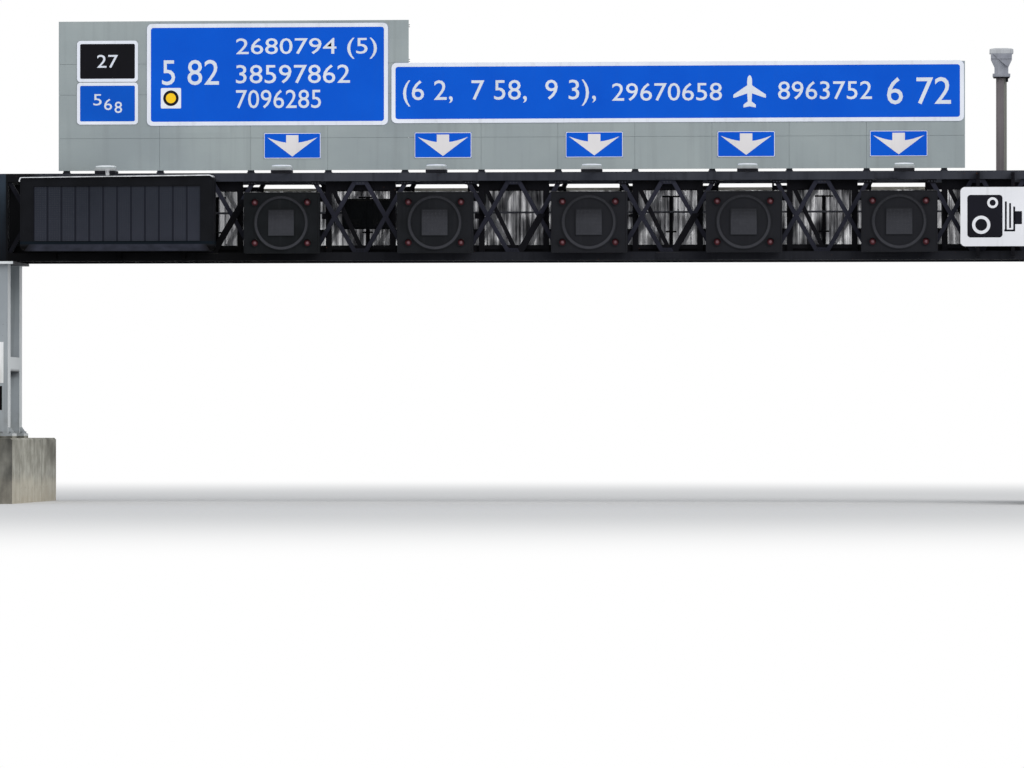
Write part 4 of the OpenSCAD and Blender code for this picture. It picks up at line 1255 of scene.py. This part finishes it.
# Message sign
# A long housing with a window over twelve display modules, a sloping sill below it, and a hood
# of bright sheet that follows its round upper corners.
CORNER_RADIUS = 0.13
CORNER_STEPS = 8
WINDOW_RADIUS = 0.02
RIM_T = 0.0065
MODULES = 12
MODULE_GAP = 0.002
MODULE_MARGIN = 0.006
DOT_COLUMNS = 7
DOT_ROWS = 30
DOT_RADIUS = 0.009
SILL_TOP = 6.143
SILL_FOOT = 5.980
SILL_TAPER = 0.12
HOOD_FROM = 47
HOOD_T = 0.026

sign_low, sign_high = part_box("message_sign_housing")
window_low, window_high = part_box("message_sign_window")
hood_low, hood_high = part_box("message_sign_hood")
module_w = (window_high.x - window_low.x) / MODULES


def message_housing():
    """The box behind the window, the frame round it, and the raised edges of that frame."""
    mesh = bmesh.new()
    front = sign_low.y
    outline = inside(sign_low, sign_high, 0, CORNER_RADIUS, CORNER_STEPS)
    opening = inside(window_low, window_high, 0, WINDOW_RADIUS, CORNER_STEPS)
    add_prism(mesh, outline, window_high.y, sign_high.y)
    add_ring(mesh, outline, opening, front + 0.006, window_high.y - 0.0005)
    add_ring(mesh, outline, inside(sign_low, sign_high, 0.03, 0.11, CORNER_STEPS), front, front + RIM_T)
    window_edge = oblong(window_low.x - 0.03, window_low.z - 0.005, window_high.x + 0.03,
                         window_high.z + 0.03, 0.03, CORNER_STEPS)
    add_ring(mesh, window_edge, opening, front, front + RIM_T)
    return mesh


def sill_strip():
    """A folded strip below the window, mitred at its ends."""
    mesh = bmesh.new()
    near, far = sign_low.y - 0.035, sign_low.y + 0.004
    left, right = sign_low.x + 0.10, sign_high.x - 0.09
    add_skin(mesh, [[(top_x, far, SILL_TOP), (foot_x, near, SILL_FOOT), (foot_x, far, SILL_FOOT)]
                    for top_x, foot_x in ((left + SILL_TAPER, left), (right - SILL_TAPER, right))])
    return mesh


def display_modules():
    mesh = bmesh.new()
    for i in range(MODULES):
        left = window_low.x + i * module_w
        add_box(mesh, (left + MODULE_GAP, window_low.y, window_low.z + MODULE_MARGIN),
                (left + module_w - MODULE_GAP, window_high.y, window_high.z - MODULE_MARGIN), 0.003)
    return mesh


def module_lamp_places():
    dot_h = (window_high.z - window_low.z) / DOT_ROWS
    xs = [window_low.x + (i + (column + 1) / (DOT_COLUMNS + 1)) * module_w
          for i in range(MODULES) for column in range(DOT_COLUMNS)]
    zs = [window_low.z + (row + 0.5) * dot_h for row in range(DOT_ROWS)]
    return [((x, window_low.y, z), (0, -1, 0)) for x in xs for z in zs]


def message_hood():
    """Bent at each end to an arc of the corner, and straight between the two arcs.

    The left arc is turned a quarter from the right one, not mirrored, so the sheet falls 5 cm to the left.
    """
    mesh = bmesh.new()
    z = sign_high.z - CORNER_RADIUS
    left, right = sign_low.x + CORNER_RADIUS, sign_high.x - CORNER_RADIUS
    turns = [radians(HOOD_FROM + (90 - HOOD_FROM) * k / CORNER_STEPS) for k in range(CORNER_STEPS + 1)]
    outer, inner = ([(right + radius * cos(a), z + radius * sin(a)) for a in turns]
                    + [(left - radius * sin(a), z + radius * cos(a)) for a in turns]
                    for radius in (CORNER_RADIUS + HOOD_T, CORNER_RADIUS + 0.001))
    add_prism(mesh, outer + inner[::-1], hood_low.y, hood_high.y)
    return mesh


def bright_sheet():
    material, where = surface("bright_sheet", 0.5, 0.2)
    colour = tint(patches(where, 6, 0.4, 0.75, 0.4, 5.0), (224, 226, 230), (182, 184, 186))
    return finished(material, colour, noise(where, 80), 0.0006)


def sill_coat():
    """Darker towards the ends of the sill than in its middle."""
    material, where = surface("sill_coat", 0.6, shine=0.06)
    colour = tint(patches(where, 5, stretch=2, detail=5.0), (44, 46, 56), (33, 35, 43))
    centre, half = (sign_low.x + sign_high.x) / 2, (sign_high.x - sign_low.x) / 2
    off_centre = maths("ABSOLUTE", maths("SUBTRACT", axes_of(where)[X], centre))
    colour = wash(colour, (14, 14, 17), span(off_centre, half - 0.40, half - 0.12))
    return finished(material, colour, noise(where, 90), 0.0008)


def module_joint_shade(where, colour):
    """The colour with painted shade towards the sides of each module, where the modules meet."""
    turn = maths("DIVIDE", maths("SUBTRACT", axes_of(where)[X], window_low.x), module_w)
    off_centre = maths("ABSOLUTE", maths("SUBTRACT", maths("FRACT", turn), 0.5))
    return wash(colour, (23, 25, 34), span(off_centre, 0.40, 0.45), 0.85)


def message_coat():
    """The signals' coat, with painted shade that makes it blacker at the foot, and a greenish tinge just
    below the window.
    """
    material, where = surface("message_coat", 0.6, shine=0.05)
    z = axes_of(where)[Z]
    colour = tint(patches(where, 2.1, detail=5.0), (22, 23, 27), (16, 17, 20))
    colour = wash(colour, (12, 20, 27), between(z, SILL_TOP, window_low.z, 0.006))
    # Painted shade, nearly black, below the sill.
    colour = wash(colour, (3, 3, 4), span(z, SILL_TOP - 0.02, SILL_TOP - 0.06))
    return black_coat(material, where, colour)


module_face = tinted_screen("module_face", (44, 47, 57), (37, 40, 49), module_w, (34, 38, 47),
                            (window_low.z + 0.1, window_high.z), module_joint_shade)
piece("message_housing", message_housing(), message_coat(), ["message_sign_housing"])
piece("message_sill", sill_strip(), sill_coat())
piece("message_modules", display_modules(), module_face, ["message_sign_window"])
grow_on("message_lamps", module_lamp_places(), lamps, lamp_dark, "display",
        radius=DOT_RADIUS, depth=0.003, sides=LAMP_SIDES)
piece("message_hood", message_hood(), bright_sheet(), ["message_sign_hood"])


# Camera sign
# A flat white plate on two channels, with the common pictogram of a camera cut from black film
# and two rings of white film on it.
FILM_T = 0.0015
FILM_SUNK = 0.0002
DISC_STEPS = 40
CAMERA_SHAPES = (
    (0.162, 0.205, 0.985, 1.205, 0.075),
    (1.040, 0.370, 1.085, 1.050, 0.006),
    (1.140, 0.425, 1.185, 1.010, 0.006),
    (1.236, 0.345, 1.281, 0.930, 0.006),
    (1.025, 0.345, 1.245, 0.390, 0.006),
    (1.262, 0.515, 1.440, 0.820, 0.010),
)
CAMERA_LENSES = ((0.754, 1.020, 0.128, 0.072), (0.486, 0.502, 0.214, 0.140))


def film(name, light, deep, grime_share=0.25, grime_colour=(120, 120, 118)):
    """Reflective sheeting: glass beads under a clear skin, a little uneven where it was rolled on."""
    material, where = surface(name, 0.38, shine=0.1)
    colour = tint(patches(where, 0.8, detail=5.0), light, deep)
    colour = wash(colour, grime_colour, patches(where, 7, 0.55, 0.85, 0.08, 5.0), grime_share)
    return finished(material, colour, cells(where, 260.0)[0], 0.0004)


def lay_film(mesh, outline, face, hole=None, thickness=FILM_T):
    """A shape cut from film, or a frame where it has a hole, on a face that looks along -Y."""
    start, end = face - thickness, face + FILM_SUNK
    if hole:
        add_ring(mesh, outline, hole, start, end)
    else:
        add_prism(mesh, outline, start, end)


def camera_pictogram():
    """The body, the lines of the bellows and the block at the back, and the rings of the lenses."""
    shapes, rings = bmesh.new(), bmesh.new()
    x, face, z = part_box("camera_sign")[0]
    for left, foot, right, head, radius in CAMERA_SHAPES:
        lay_film(shapes, oblong(x + left, z + foot, x + right, z + head, radius), face)
    for across, up, *radii in CAMERA_LENSES:
        outer, inner = (circle(x + across, z + up, radius, DISC_STEPS) for radius in radii)
        lay_film(rings, outer, face - FILM_T, inner)
    return shapes, rings


white_film = film("white_film", (228, 232, 242), (214, 219, 230))
plate_white = film("plate_white", (229, 230, 235), (216, 217, 222))
black_film = film("black_film", (20, 20, 30), (13, 13, 20), 0.1, (60, 60, 64))
dress(plate_white, "camera_sign")
pictogram, lens_rings = camera_pictogram()
piece("camera_pictogram", pictogram, black_film)
piece("camera_pictogram_rings", lens_rings, plate_white)


# Direction signs
# The boards are aluminium sheets on rails, butted at the posts and riveted along their edges. The
# panels, small plates and arrows on them are sheeting on their own plates.
SHEET_GAP = 0.005
SHEET_T = 0.012
SHEET_JOINTS = (8.666, 9.704, 10.435)
BORDER_W = 0.095
SMALL_BORDER_W = 0.075
ARROW_RIM_W = 0.013
RIVET_PITCH = 0.29
RIVET_INSET = 0.035
RIVET_RADIUS = 0.008
ARROW_TOP = (0.147, 0.252)
ARROW_BARB = ((0.147, 0.075), (0.30, 0.085), (0.60, 0.195))
ARROW_APEX = (0.0, -0.256)
AEROPLANE_X = 5.03
AEROPLANE = [
    (0.0, 0.385), (0.030, 0.365), (0.052, 0.31), (0.058, 0.24), (0.058, 0.145), (0.385, -0.075),
    (0.385, -0.150), (0.330, -0.140), (0.058, -0.045), (0.046, -0.235), (0.145, -0.310), (0.145, -0.380),
    (0.0, -0.350)]
SYMBOL_X = -8.726
SYMBOL_Z = 9.621
SYMBOL_HALF = 0.243
SYMBOL_RING = (0.185, 0.120)
SYMBOL_DISC = 0.14


def board_coat():
    """Pale grey sheets, each of a slightly different shade, with runs down them."""
    material, where = surface("board_coat", 0.5, 0.1)
    colour = tint(patches(where, 0.45, 0.35, 0.65, detail=6.0), (154, 163, 164), (141, 150, 153))
    colour = wash(colour, (128, 136, 138), cell_tone(where, 1.83, 1.1), 0.18)
    colour = wash(colour, (116, 121, 122), patches(where, 6, 0.5, 0.8, 0.05, 4.0), 0.30)
    return finished(material, colour, noise(where, 18, detail=5.0), 0.0008)


def make_rivet_tree():
    """A low round head on every point."""
    given = start_tree("rivets", radius="Float", flatness="Float")
    tree = given["Radius"].id_data
    ball = add_node(tree, "GeometryNodeMeshUVSphere", {
        "Segments": 8, "Rings": 4, "Radius": given["Radius"]})
    squash = add_node(tree, "ShaderNodeCombineXYZ", {"X": 1.0, "Y": 1.0, "Z": given["Flatness"]})
    head = add_node(tree, "GeometryNodeTransform", {"Geometry": ball[0], "Scale": squash[0]})
    return end_tree(given, on_every_point(given, head[0]))


def between_joints(edges):
    """From where to where each sheet goes, with a gap at every joint but not at the board's own edges."""
    half, last = SHEET_GAP / 2, len(edges) - 2
    return [(start + half * (i > 0), end - half * (i < last))
            for i, (start, end) in enumerate(zip(edges, edges[1:]))]


def rivet_row(start, end, least):
    """Even steps along a sheet's edge, from corner to corner, in at least so many gaps."""
    start, end = start + RIVET_INSET, end - RIVET_INSET
    gaps = max(least, round((end - start) / RIVET_PITCH))
    return [start + i * (end - start) / gaps for i in range(gaps + 1)]


def board_sheets(board):
    """The sheets of a board, each between two posts and two level joints, and where their rivets go."""
    low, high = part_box(board)
    mesh, rivet_spots = bmesh.new(), []
    posts = [middle(*box)[X] for box in solids("sign_posts")]
    xs = [low.x] + [x for x in posts if low.x + 0.5 < x < high.x - 0.5] + [high.x]
    zs = [low.z] + [z for z in SHEET_JOINTS if z < high.z - 0.3] + [high.z]
    add_box(mesh, (low.x + 0.01, low.y + SHEET_T, low.z + 0.01),
            (high.x - 0.01, high.y, high.z - 0.01), 0.004)
    for left, right in between_joints(xs):
        for foot, head in between_joints(zs):
            add_box(mesh, (left, low.y, foot), (right, low.y + SHEET_T + 0.001, head), 0.002)
            across, up = rivet_row(left, right, 1), rivet_row(foot, head, 2)
            rivet_spots += [(x, z) for z in (up[0], up[-1]) for x in across]
            rivet_spots += [(x, z) for x in (across[0], across[-1]) for z in up[1:-1]]
    return mesh, [((x, low.y, z), (0, -1, 0)) for x, z in rivet_spots]


def white_borders():
    """A frame of film round each panel and each small plate, with round corners."""
    mesh = bmesh.new()
    panels = [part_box(panel) for panel in ("exit_panel", "through_panel")]
    for boxes, radius, width in ((panels, 0.12, BORDER_W), (solids("small_plates"), 0.08, SMALL_BORDER_W),
                                 (solids("lane_arrow_plates"), 0.03, ARROW_RIM_W)):
        for low, high in boxes:
            hole = inside(low, high, width, radius - width * 0.6)
            lay_film(mesh, inside(low, high, 0, radius), low.y, hole)
    return mesh


def lower_plate_face():
    """The lower of the two small plates is blue."""
    mesh = bmesh.new()
    low, high = min(solids("small_plates"), key=lambda box: box[0].z)
    lay_film(mesh, inside(low, high, SMALL_BORDER_W / 2, 0.05), low.y, thickness=FILM_T / 2)
    return mesh


def both_halves(x, z, right):
    """An outline that is the same on both sides of an upright line, from its right half."""
    left = [(-a, b) for a, b in reversed(right) if a]
    return [(x + a, z + b) for a, b in right + left]


def lane_arrows():
    """An arrow down on to each lane, with hollow barbs."""
    mesh = bmesh.new()
    barb = [[(1 - t) ** 2 * a + 2 * t * (1 - t) * b + t * t * c for a, b, c in zip(*ARROW_BARB)]
            for t in (0, 0.25, 0.5, 0.75, 1)]
    for low, high in solids("lane_arrow_plates"):
        x, _, z = middle(low, high)
        lay_film(mesh, both_halves(x, z, [ARROW_TOP, *barb, ARROW_APEX]), low.y)
    return mesh


def write_number(text, left, right, middle_z, height, face):
    """Plain figures between two edges, as a mesh of film."""
    curve = bpy.data.curves.new(f"figures_{text}", "FONT")
    curve.body = text
    curve.size = 1.0
    curve.offset = 0.002
    curve.resolution_u = 3
    curve.extrude = 0.5
    writer = add_object("writer", curve)
    data = plain_mesh(writer)
    bpy.data.objects.remove(writer)
    xs, ys = [v.co.x for v in data.vertices], [v.co.y for v in data.vertices]
    width, rise = (right - left) / (max(xs) - min(xs)), height / (max(ys) - min(ys))
    for v in data.vertices:
        v.co = ((v.co.x - min(xs)) * width + left, face - FILM_T * (0.5 + v.co.z),
                middle_z + (v.co.y - (max(ys) + min(ys)) / 2) * rise)
    return data


def sign_figures():
    """Plain figures where the signs have their numbers and place names, and the symbol of an airport.

    Each row has the figures, their left and right edge, the height of their middle and their size.
    """
    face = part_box("exit_panel")[0].y
    through_low, through_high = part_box("through_panel")
    level = (through_low.z + through_high.z) / 2
    upper, lower = sorted(solids("small_plates"), key=lambda box: -box[0].z)
    small_x, _, upper_z = middle(*upper)
    lower_z = middle(*lower)[Z]
    rows = [
        ("5 82", -8.94, -7.576, 10.23, 0.60),
        ("2680794 (5)", -7.169, -3.803, 10.787, 0.50),
        ("38597862", -7.169, -4.447, 10.183, 0.44),
        ("7096285", -7.169, -5.138, 9.591, 0.44),
        ("(6 2,  7 58,  9 3),", -3.184, 1.399, level - 0.01, 0.62),
        ("29670658", 1.778, 4.378, level, 0.42),
        ("8963752", 5.699, 7.911, level + 0.02, 0.43),
        ("6 72", 8.264, 9.767, level, 0.64),
        ("27", small_x - 0.252, small_x + 0.252, upper_z, 0.31),
        ("5", small_x - 0.34, small_x - 0.14, lower_z + 0.09, 0.27),
        ("6", small_x - 0.08, small_x + 0.11, lower_z - 0.02, 0.27),
        ("8", small_x + 0.17, small_x + 0.35, lower_z - 0.09, 0.27),
    ]
    mesh = bmesh.new()
    for row in rows:
        data = write_number(*row, face)
        mesh.from_mesh(data)
        bpy.data.meshes.remove(data)
    bmesh.ops.remove_doubles(mesh, verts=mesh.verts, dist=1e-5)
    lay_film(mesh, both_halves(AEROPLANE_X, level, AEROPLANE), through_low.y)
    return mesh


def symbol_plate():
    """A white square with a yellow disc in a dark ring, below the number on the tall board's panel."""
    plate, ring, disc = bmesh.new(), bmesh.new(), bmesh.new()
    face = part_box("exit_panel")[0].y
    lay_film(plate, square(SYMBOL_X, SYMBOL_Z, SYMBOL_HALF, 0.03), face)
    outer, inner, middle_disc = (circle(SYMBOL_X, SYMBOL_Z, radius, DISC_STEPS)
                                 for radius in (*SYMBOL_RING, SYMBOL_DISC))
    lay_film(ring, outer, face - FILM_T, inner)
    lay_film(disc, middle_disc, face - FILM_T, thickness=0.6 * FILM_T)
    return plate, ring, disc


board_grey = board_coat()
blue_film = film("blue_film", (2, 87, 205), (0, 80, 197), 0.08, (40, 84, 160))
small_blue_film = film("small_blue_film", (4, 84, 192), (2, 78, 184), 0.08, (40, 84, 160))
plate_black = film("plate_black", (11, 11, 17), (6, 6, 11), 0.06, (60, 60, 64))
arrow_white = film("arrow_white", (224, 221, 222), (212, 209, 211), 0.2)
yellow_film = film("yellow_film", (250, 204, 40), (240, 190, 30))
figure_film = film("figure_film", (218, 224, 234), (204, 210, 221), 0.15)
rivets = make_rivet_tree()
for board in ("tall_sign_board", "long_sign_board"):
    sheets, rivet_places = board_sheets(board)
    piece(f"{board}_sheets", sheets, board_grey, [board])
    grow_on(f"{board}_rivets", rivet_places, rivets, board_grey, "sign_grey",
            radius=RIVET_RADIUS, flatness=0.4)
dress(zinc("rail_zinc", (150, 154, 157), (126, 130, 134), (90, 90, 88)), "sign_rails")
dress(blue_film, "exit_panel", "through_panel", "lane_arrow_plates")
dress(plate_black, "small_plates")
piece("white_borders", white_borders(), white_film)
piece("lower_plate_face", lower_plate_face(), small_blue_film)
piece("lane_arrows", lane_arrows(), arrow_white)
piece("sign_figures", sign_figures(), figure_film)
symbol_square, symbol_ring, symbol_disc = symbol_plate()
piece("symbol_square", symbol_square, white_film)
piece("symbol_ring", symbol_ring, black_film)
piece("symbol_disc", symbol_disc, yellow_film)


# Sign posts
# Rolled steel sections on foot plates, each held by four bolts, with galvanised clips that hold
# the rails of the boards.
POST_BOLT = (0.015, 0.014, 0.020, 0.004)
POST_PLATE_T = 0.025
CLIP_OFF = 0.07
CLIP_W = 0.05
CLIP_H = 0.018
CLIP_T = 0.022


def post_bolt_places():
    return [((x, y, low.z + POST_PLATE_T), (0, 0, 1)) for low, high in solids("sign_posts")
            for x in (low.x + 0.042, high.x - 0.042) for y in (low.y + 0.048, high.y - 0.048)]


def rail_clips():
    """Two clips on each side of a post, behind every rail that crosses it."""
    mesh = bmesh.new()
    rails = solids("sign_rails")
    for post_low, post_high in solids("sign_posts"):
        x = (post_low.x + post_high.x) / 2
        for low, high in rails:
            if low.x < x < high.x and high.z < post_high.z + 0.1:
                for left in (x - CLIP_OFF - CLIP_W, x + CLIP_OFF):
                    right = left + CLIP_W
                    for z in (low.z + 0.012, high.z - 0.03):
                        add_box(mesh, (left - 0.002, high.y, z), (right, high.y + CLIP_T, z + CLIP_H), 0.002)
    return mesh


bolt_on("post_foot_bolts", post_bolt_places(), POST_BOLT, bolt_zinc)
piece("rail_clips", rail_clips(), bolt_zinc)


# Sign lights
# Floodlights on arms in front of the boards. Each has a cast body over its gear box and a pale
# cover that bulges a little in the middle.
GEAR_SPLIT_Z = 7.83
COVER_SPLIT_Z = 7.925
COVER_PROFILE = (
    (0.0, 0.02), (0.0, 0.55), (0.12, 0.85), (0.35, 1.0), (0.7, 1.0), (0.92, 0.8), (1.0, 0.5), (1.0, 0.02))
COVER_STATIONS = (1.0, 0.96, 0.86, 0.68, 0.5, 0.32, 0.14, 0.04, 0.0)
GEAR_RIBS = 9
GEAR_RIB_INSET = 0.04
CLAMP_HALF = 0.07
NECK_OFF = 0.065
NECK = [(0.04, -0.16), (0.045, -0.06), (0.06, 0.0)]


def light_metal():
    """Dark cast metal, whose upper half is bare and pale on the gear box out at the arm's end."""
    material, where = surface("light_metal", 0.6, shine=0.08)
    y, z = axes_of(where)[1:]
    cloud = patches(where, 6, detail=4.0)
    bare = times(span(z, GEAR_SPLIT_Z, GEAR_SPLIT_Z + 0.02), span(y, -2.10, -2.18))
    dark_metal = tint(cloud, (30, 30, 36), (20, 20, 25))
    pale_metal = tint(cloud, (168, 172, 174), (146, 150, 152))
    colour = wash(tint(bare, dark_metal, pale_metal), (110, 108, 102), facing(where, Z), 0.5)
    return finished(material, colour, noise(where, 150), 0.0006)


def cover_glass():
    """Ribbed pale glass, with a painted highlight that makes its top much paler."""
    material, where = surface("cover_glass", 0.3, shine=0.4)
    ribs = add_node(where.id_data, "ShaderNodeTexWave", {"Vector": where, "Scale": 22.0},
                    bands_direction="X")[1]
    grime = patches(where, 12, 0.4, 0.8, detail=4.0)
    dull = tint(grime, (156, 164, 166), (142, 150, 152))
    lit_colour = tint(grime, (234, 238, 238), (206, 210, 210))
    # Painted highlight along the top of the cover.
    upper = span(axes_of(where)[Z], COVER_SPLIT_Z, COVER_SPLIT_Z + 0.01)
    return finished(material, tint(upper, dull, lit_colour), ribs, 0.002)


def light_cover(low, high):
    """The pale cover, drawn across the light, a little higher in the middle than at its ends."""
    mesh = bmesh.new()
    inset = Vector((0.02, 0, 0))
    low, high = low + inset, high - inset
    size = high - low
    rings = []
    for share in COVER_STATIONS:
        rise = 0.8 + 0.2 * sin(pi * share) ** 0.6
        rings.append([(low.x + share * size.x, low.y + y * size.y, low.z + z * size.z * rise)
                      for y, z in COVER_PROFILE])
    add_skin(mesh, rings)
    return mesh


def light_trim(low, high):
    """The rim under the cover, the ribs of the gear box and the two clamps on the chord."""
    mesh = bmesh.new()
    add_box(mesh, (low.x - 0.006, low.y - 0.006, low.z - 0.012),
            (high.x + 0.006, high.y + 0.006, low.z + 0.012), 0.005)
    for i in range(GEAR_RIBS):
        x = low.x + GEAR_RIB_INSET + i * (high.x - low.x - 2 * GEAR_RIB_INSET) / (GEAR_RIBS - 1)
        add_box(mesh, (x - 0.006, low.y - 0.012, low.z - 0.095),
                (x + 0.006, low.y + 0.004, low.z - 0.016), 0.002)
    x = (low.x + high.x) / 2
    for y in (chord_low.y + 0.03, chord_high.y - 0.05):
        add_box(mesh, (x - CLAMP_HALF, y, chord_high.z),
                (x + CLAMP_HALF, y + 0.03, chord_high.z + 0.056), 0.004)
    return mesh


def light_neck(low, high):
    """The first light hangs on a pale neck, wider at its head, in front of the message sign's hood."""
    mesh = bmesh.new()
    add_prism(mesh, both_halves((low.x + high.x) / 2 + NECK_OFF, low.z, NECK), low.y - 0.01, low.y + 0.03)
    return mesh


light_dark = light_metal()
pale_cover = cover_glass()
dress(light_dark, "sign_light_arms")
light_boxes = solids("sign_lights")
for index, (low, high) in enumerate(light_boxes, 1):
    piece(f"light_cover_{index}", light_cover(low, high), pale_cover,
          ["sign_lights"] if index == 1 else ())
    piece(f"light_trim_{index}", light_trim(low, high), light_dark)
neck_grey = dull_coat("neck_grey", (182, 184, 186), (160, 162, 166))
piece("light_neck", light_neck(*light_boxes[0]), neck_grey)


# Mast
# A square steel mast, corner on to the road, bolted to the rear chord, with a sheet head whose
# front is cut back below its lid.
MAST_BOLT = (0.02, 0.018, 0.028, 0.004)
MAST_BOLT_OFF = 0.165
MAST_PLATE_T = 0.025
HEAD_LEVELS = (
    (0.690, 0.140, 0.110), (0.672, 0.250, 0.185), (0.655, 0.283, 0.200), (0.575, 0.285, 0.200),
    (0.562, 0.278, 0.200), (0.560, 0.252, 0.198), (0.420, 0.250, 0.196), (0.240, 0.165, 0.160),
    (0.080, 0.165, 0.160), (0.075, 0.210, 0.200), (0.020, 0.210, 0.200), (0.000, 0.200, 0.190))
HEAD_BRACE = ((-0.20, 0.545), (-0.165, 0.545), (0.16, 0.25), (0.125, 0.25))


def mast_paint():
    """Brownish grey with long runs and fine lines down it, and painted shade, greener, on the faces that look
    aside.
    """
    material, where = surface("mast_paint", 0.6)
    runs = patches(where, 26, 0.35, 0.7, 0.02, 4.0)
    colour = tint(patches(where, 1.6, detail=5.0), (140, 133, 136), (125, 119, 121))
    colour = wash(colour, (98, 94, 94), runs, 0.35)
    colour = wash(colour, (84, 80, 80), patches(where, 90, 0.40, 0.60, 0.004, 2.0), 0.25)
    # Painted shade on the faces that look along X or against it.
    colour = wash(colour, (82, 86, 78), maths("MAXIMUM", facing(where, X), facing(where, X, -1)), 0.8)
    return finished(material, colour, runs, 0.002)


def head_paint():
    """Bluish grey with a paler lid, and runs down it."""
    material, where = surface("head_paint", 0.5)
    cloud = patches(where, 5, detail=5.0)
    lid = span(axes_of(where)[Z], head_low.z + 0.555, head_low.z + 0.562)
    hopper_grey = tint(cloud, (156, 159, 168), (134, 137, 147))
    lid_grey = tint(cloud, (186, 189, 193), (168, 171, 176))
    colour = tint(lid, hopper_grey, lid_grey)
    colour = wash(colour, (108, 108, 110), patches(where, 24, 0.5, 0.8, 0.1, 4.0), 0.35)
    return finished(material, colour, noise(where, 140), 0.0006)


def mast_head():
    """Collar, hopper and lid, with a level rail and a raking brace on the hopper's front."""
    mesh = bmesh.new()
    x, y, foot = head_x, head_y, head_low.z
    add_skin(mesh, [[(x + a * half_x, y + b * half_y, foot + z) for a, b in ROUND_THE_CORNERS]
                    for z, half_x, half_y in HEAD_LEVELS])
    front = y - 0.198
    add_box(mesh, (x - 0.235, front - 0.014, foot + 0.43), (x + 0.235, front + 0.02, foot + 0.455), 0.003)
    add_prism(mesh, [(x + across, foot + up) for across, up in HEAD_BRACE], front - 0.012, front + 0.03)
    return mesh


def mast_head_foot():
    """The plate below the collar, in the near-black paint of painted shade, and a small bracket at its right.
    """
    mesh = bmesh.new()
    x, y, foot = head_x, head_y, head_low.z
    add_box(mesh, (x - 0.19, y - 0.185, foot - 0.02), (x + 0.19, y + 0.185, foot + SUNK), 0.003)
    add_box(mesh, (x + 0.10, y - 0.16, foot - 0.12), (x + 0.16, y - 0.10, foot - 0.01), 0.004)
    return mesh


def mast_bolt_places():
    low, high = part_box("mast")
    x, y, _ = (low + high) / 2
    corners = four_corners(x, y, MAST_BOLT_OFF, MAST_BOLT_OFF)
    return [((*corner, low.z + MAST_PLATE_T), (0, 0, 1)) for corner in corners]


head_low, head_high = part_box("mast_head")
head_x, head_y, _ = middle(head_low, head_high)
dress(mast_paint(), "mast")
piece("mast_head_sheet", mast_head(), head_paint(), ["mast_head"])
piece("mast_head_foot", mast_head_foot(), inner_shade_paint)
bolt_on("mast_foot_bolts", mast_bolt_places(), MAST_BOLT, bolt_zinc)


# Equipment cabinet
# A closed sheet cabinet, powder coated black, which hangs on the hand rail. It has two doors, a
# louvre in each, and a handle.
CABINET_LID_T = 0.022
SLATS = 6
SLAT_PITCH = 0.022
SLAT_T = 0.010
SLAT_INSET = 0.14


def cabinet_doors():
    """The body, the lid, each door with its slats, and the handle beside the split."""
    mesh = bmesh.new()
    low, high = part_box("equipment_cabinet")
    split = (low.x + high.x) / 2
    add_box(mesh, (low.x, low.y + 0.012, low.z), (high.x, high.y, high.z - 0.02), 0.006)
    add_box(mesh, (low.x, low.y, high.z - CABINET_LID_T), high, 0.006)
    for left, right in ((low.x + 0.02, split - 0.004), (split + 0.004, high.x - 0.02)):
        add_box(mesh, (left, low.y + 0.002, low.z + 0.03), (right, low.y + 0.014, high.z - 0.04), 0.004)
        for i in range(SLATS):
            z = low.z + 0.10 + i * SLAT_PITCH
            add_box(mesh, (left + SLAT_INSET, low.y - 0.002, z),
                    (right - SLAT_INSET, low.y + 0.004, z + SLAT_T), 0.002)
    add_box(mesh, (split - 0.05, low.y - 0.014, low.z + 0.30),
            (split - 0.03, low.y + 0.004, low.z + 0.44), 0.004)
    return mesh


piece("cabinet_doors", cabinet_doors(), signal_black, ["equipment_cabinet"])
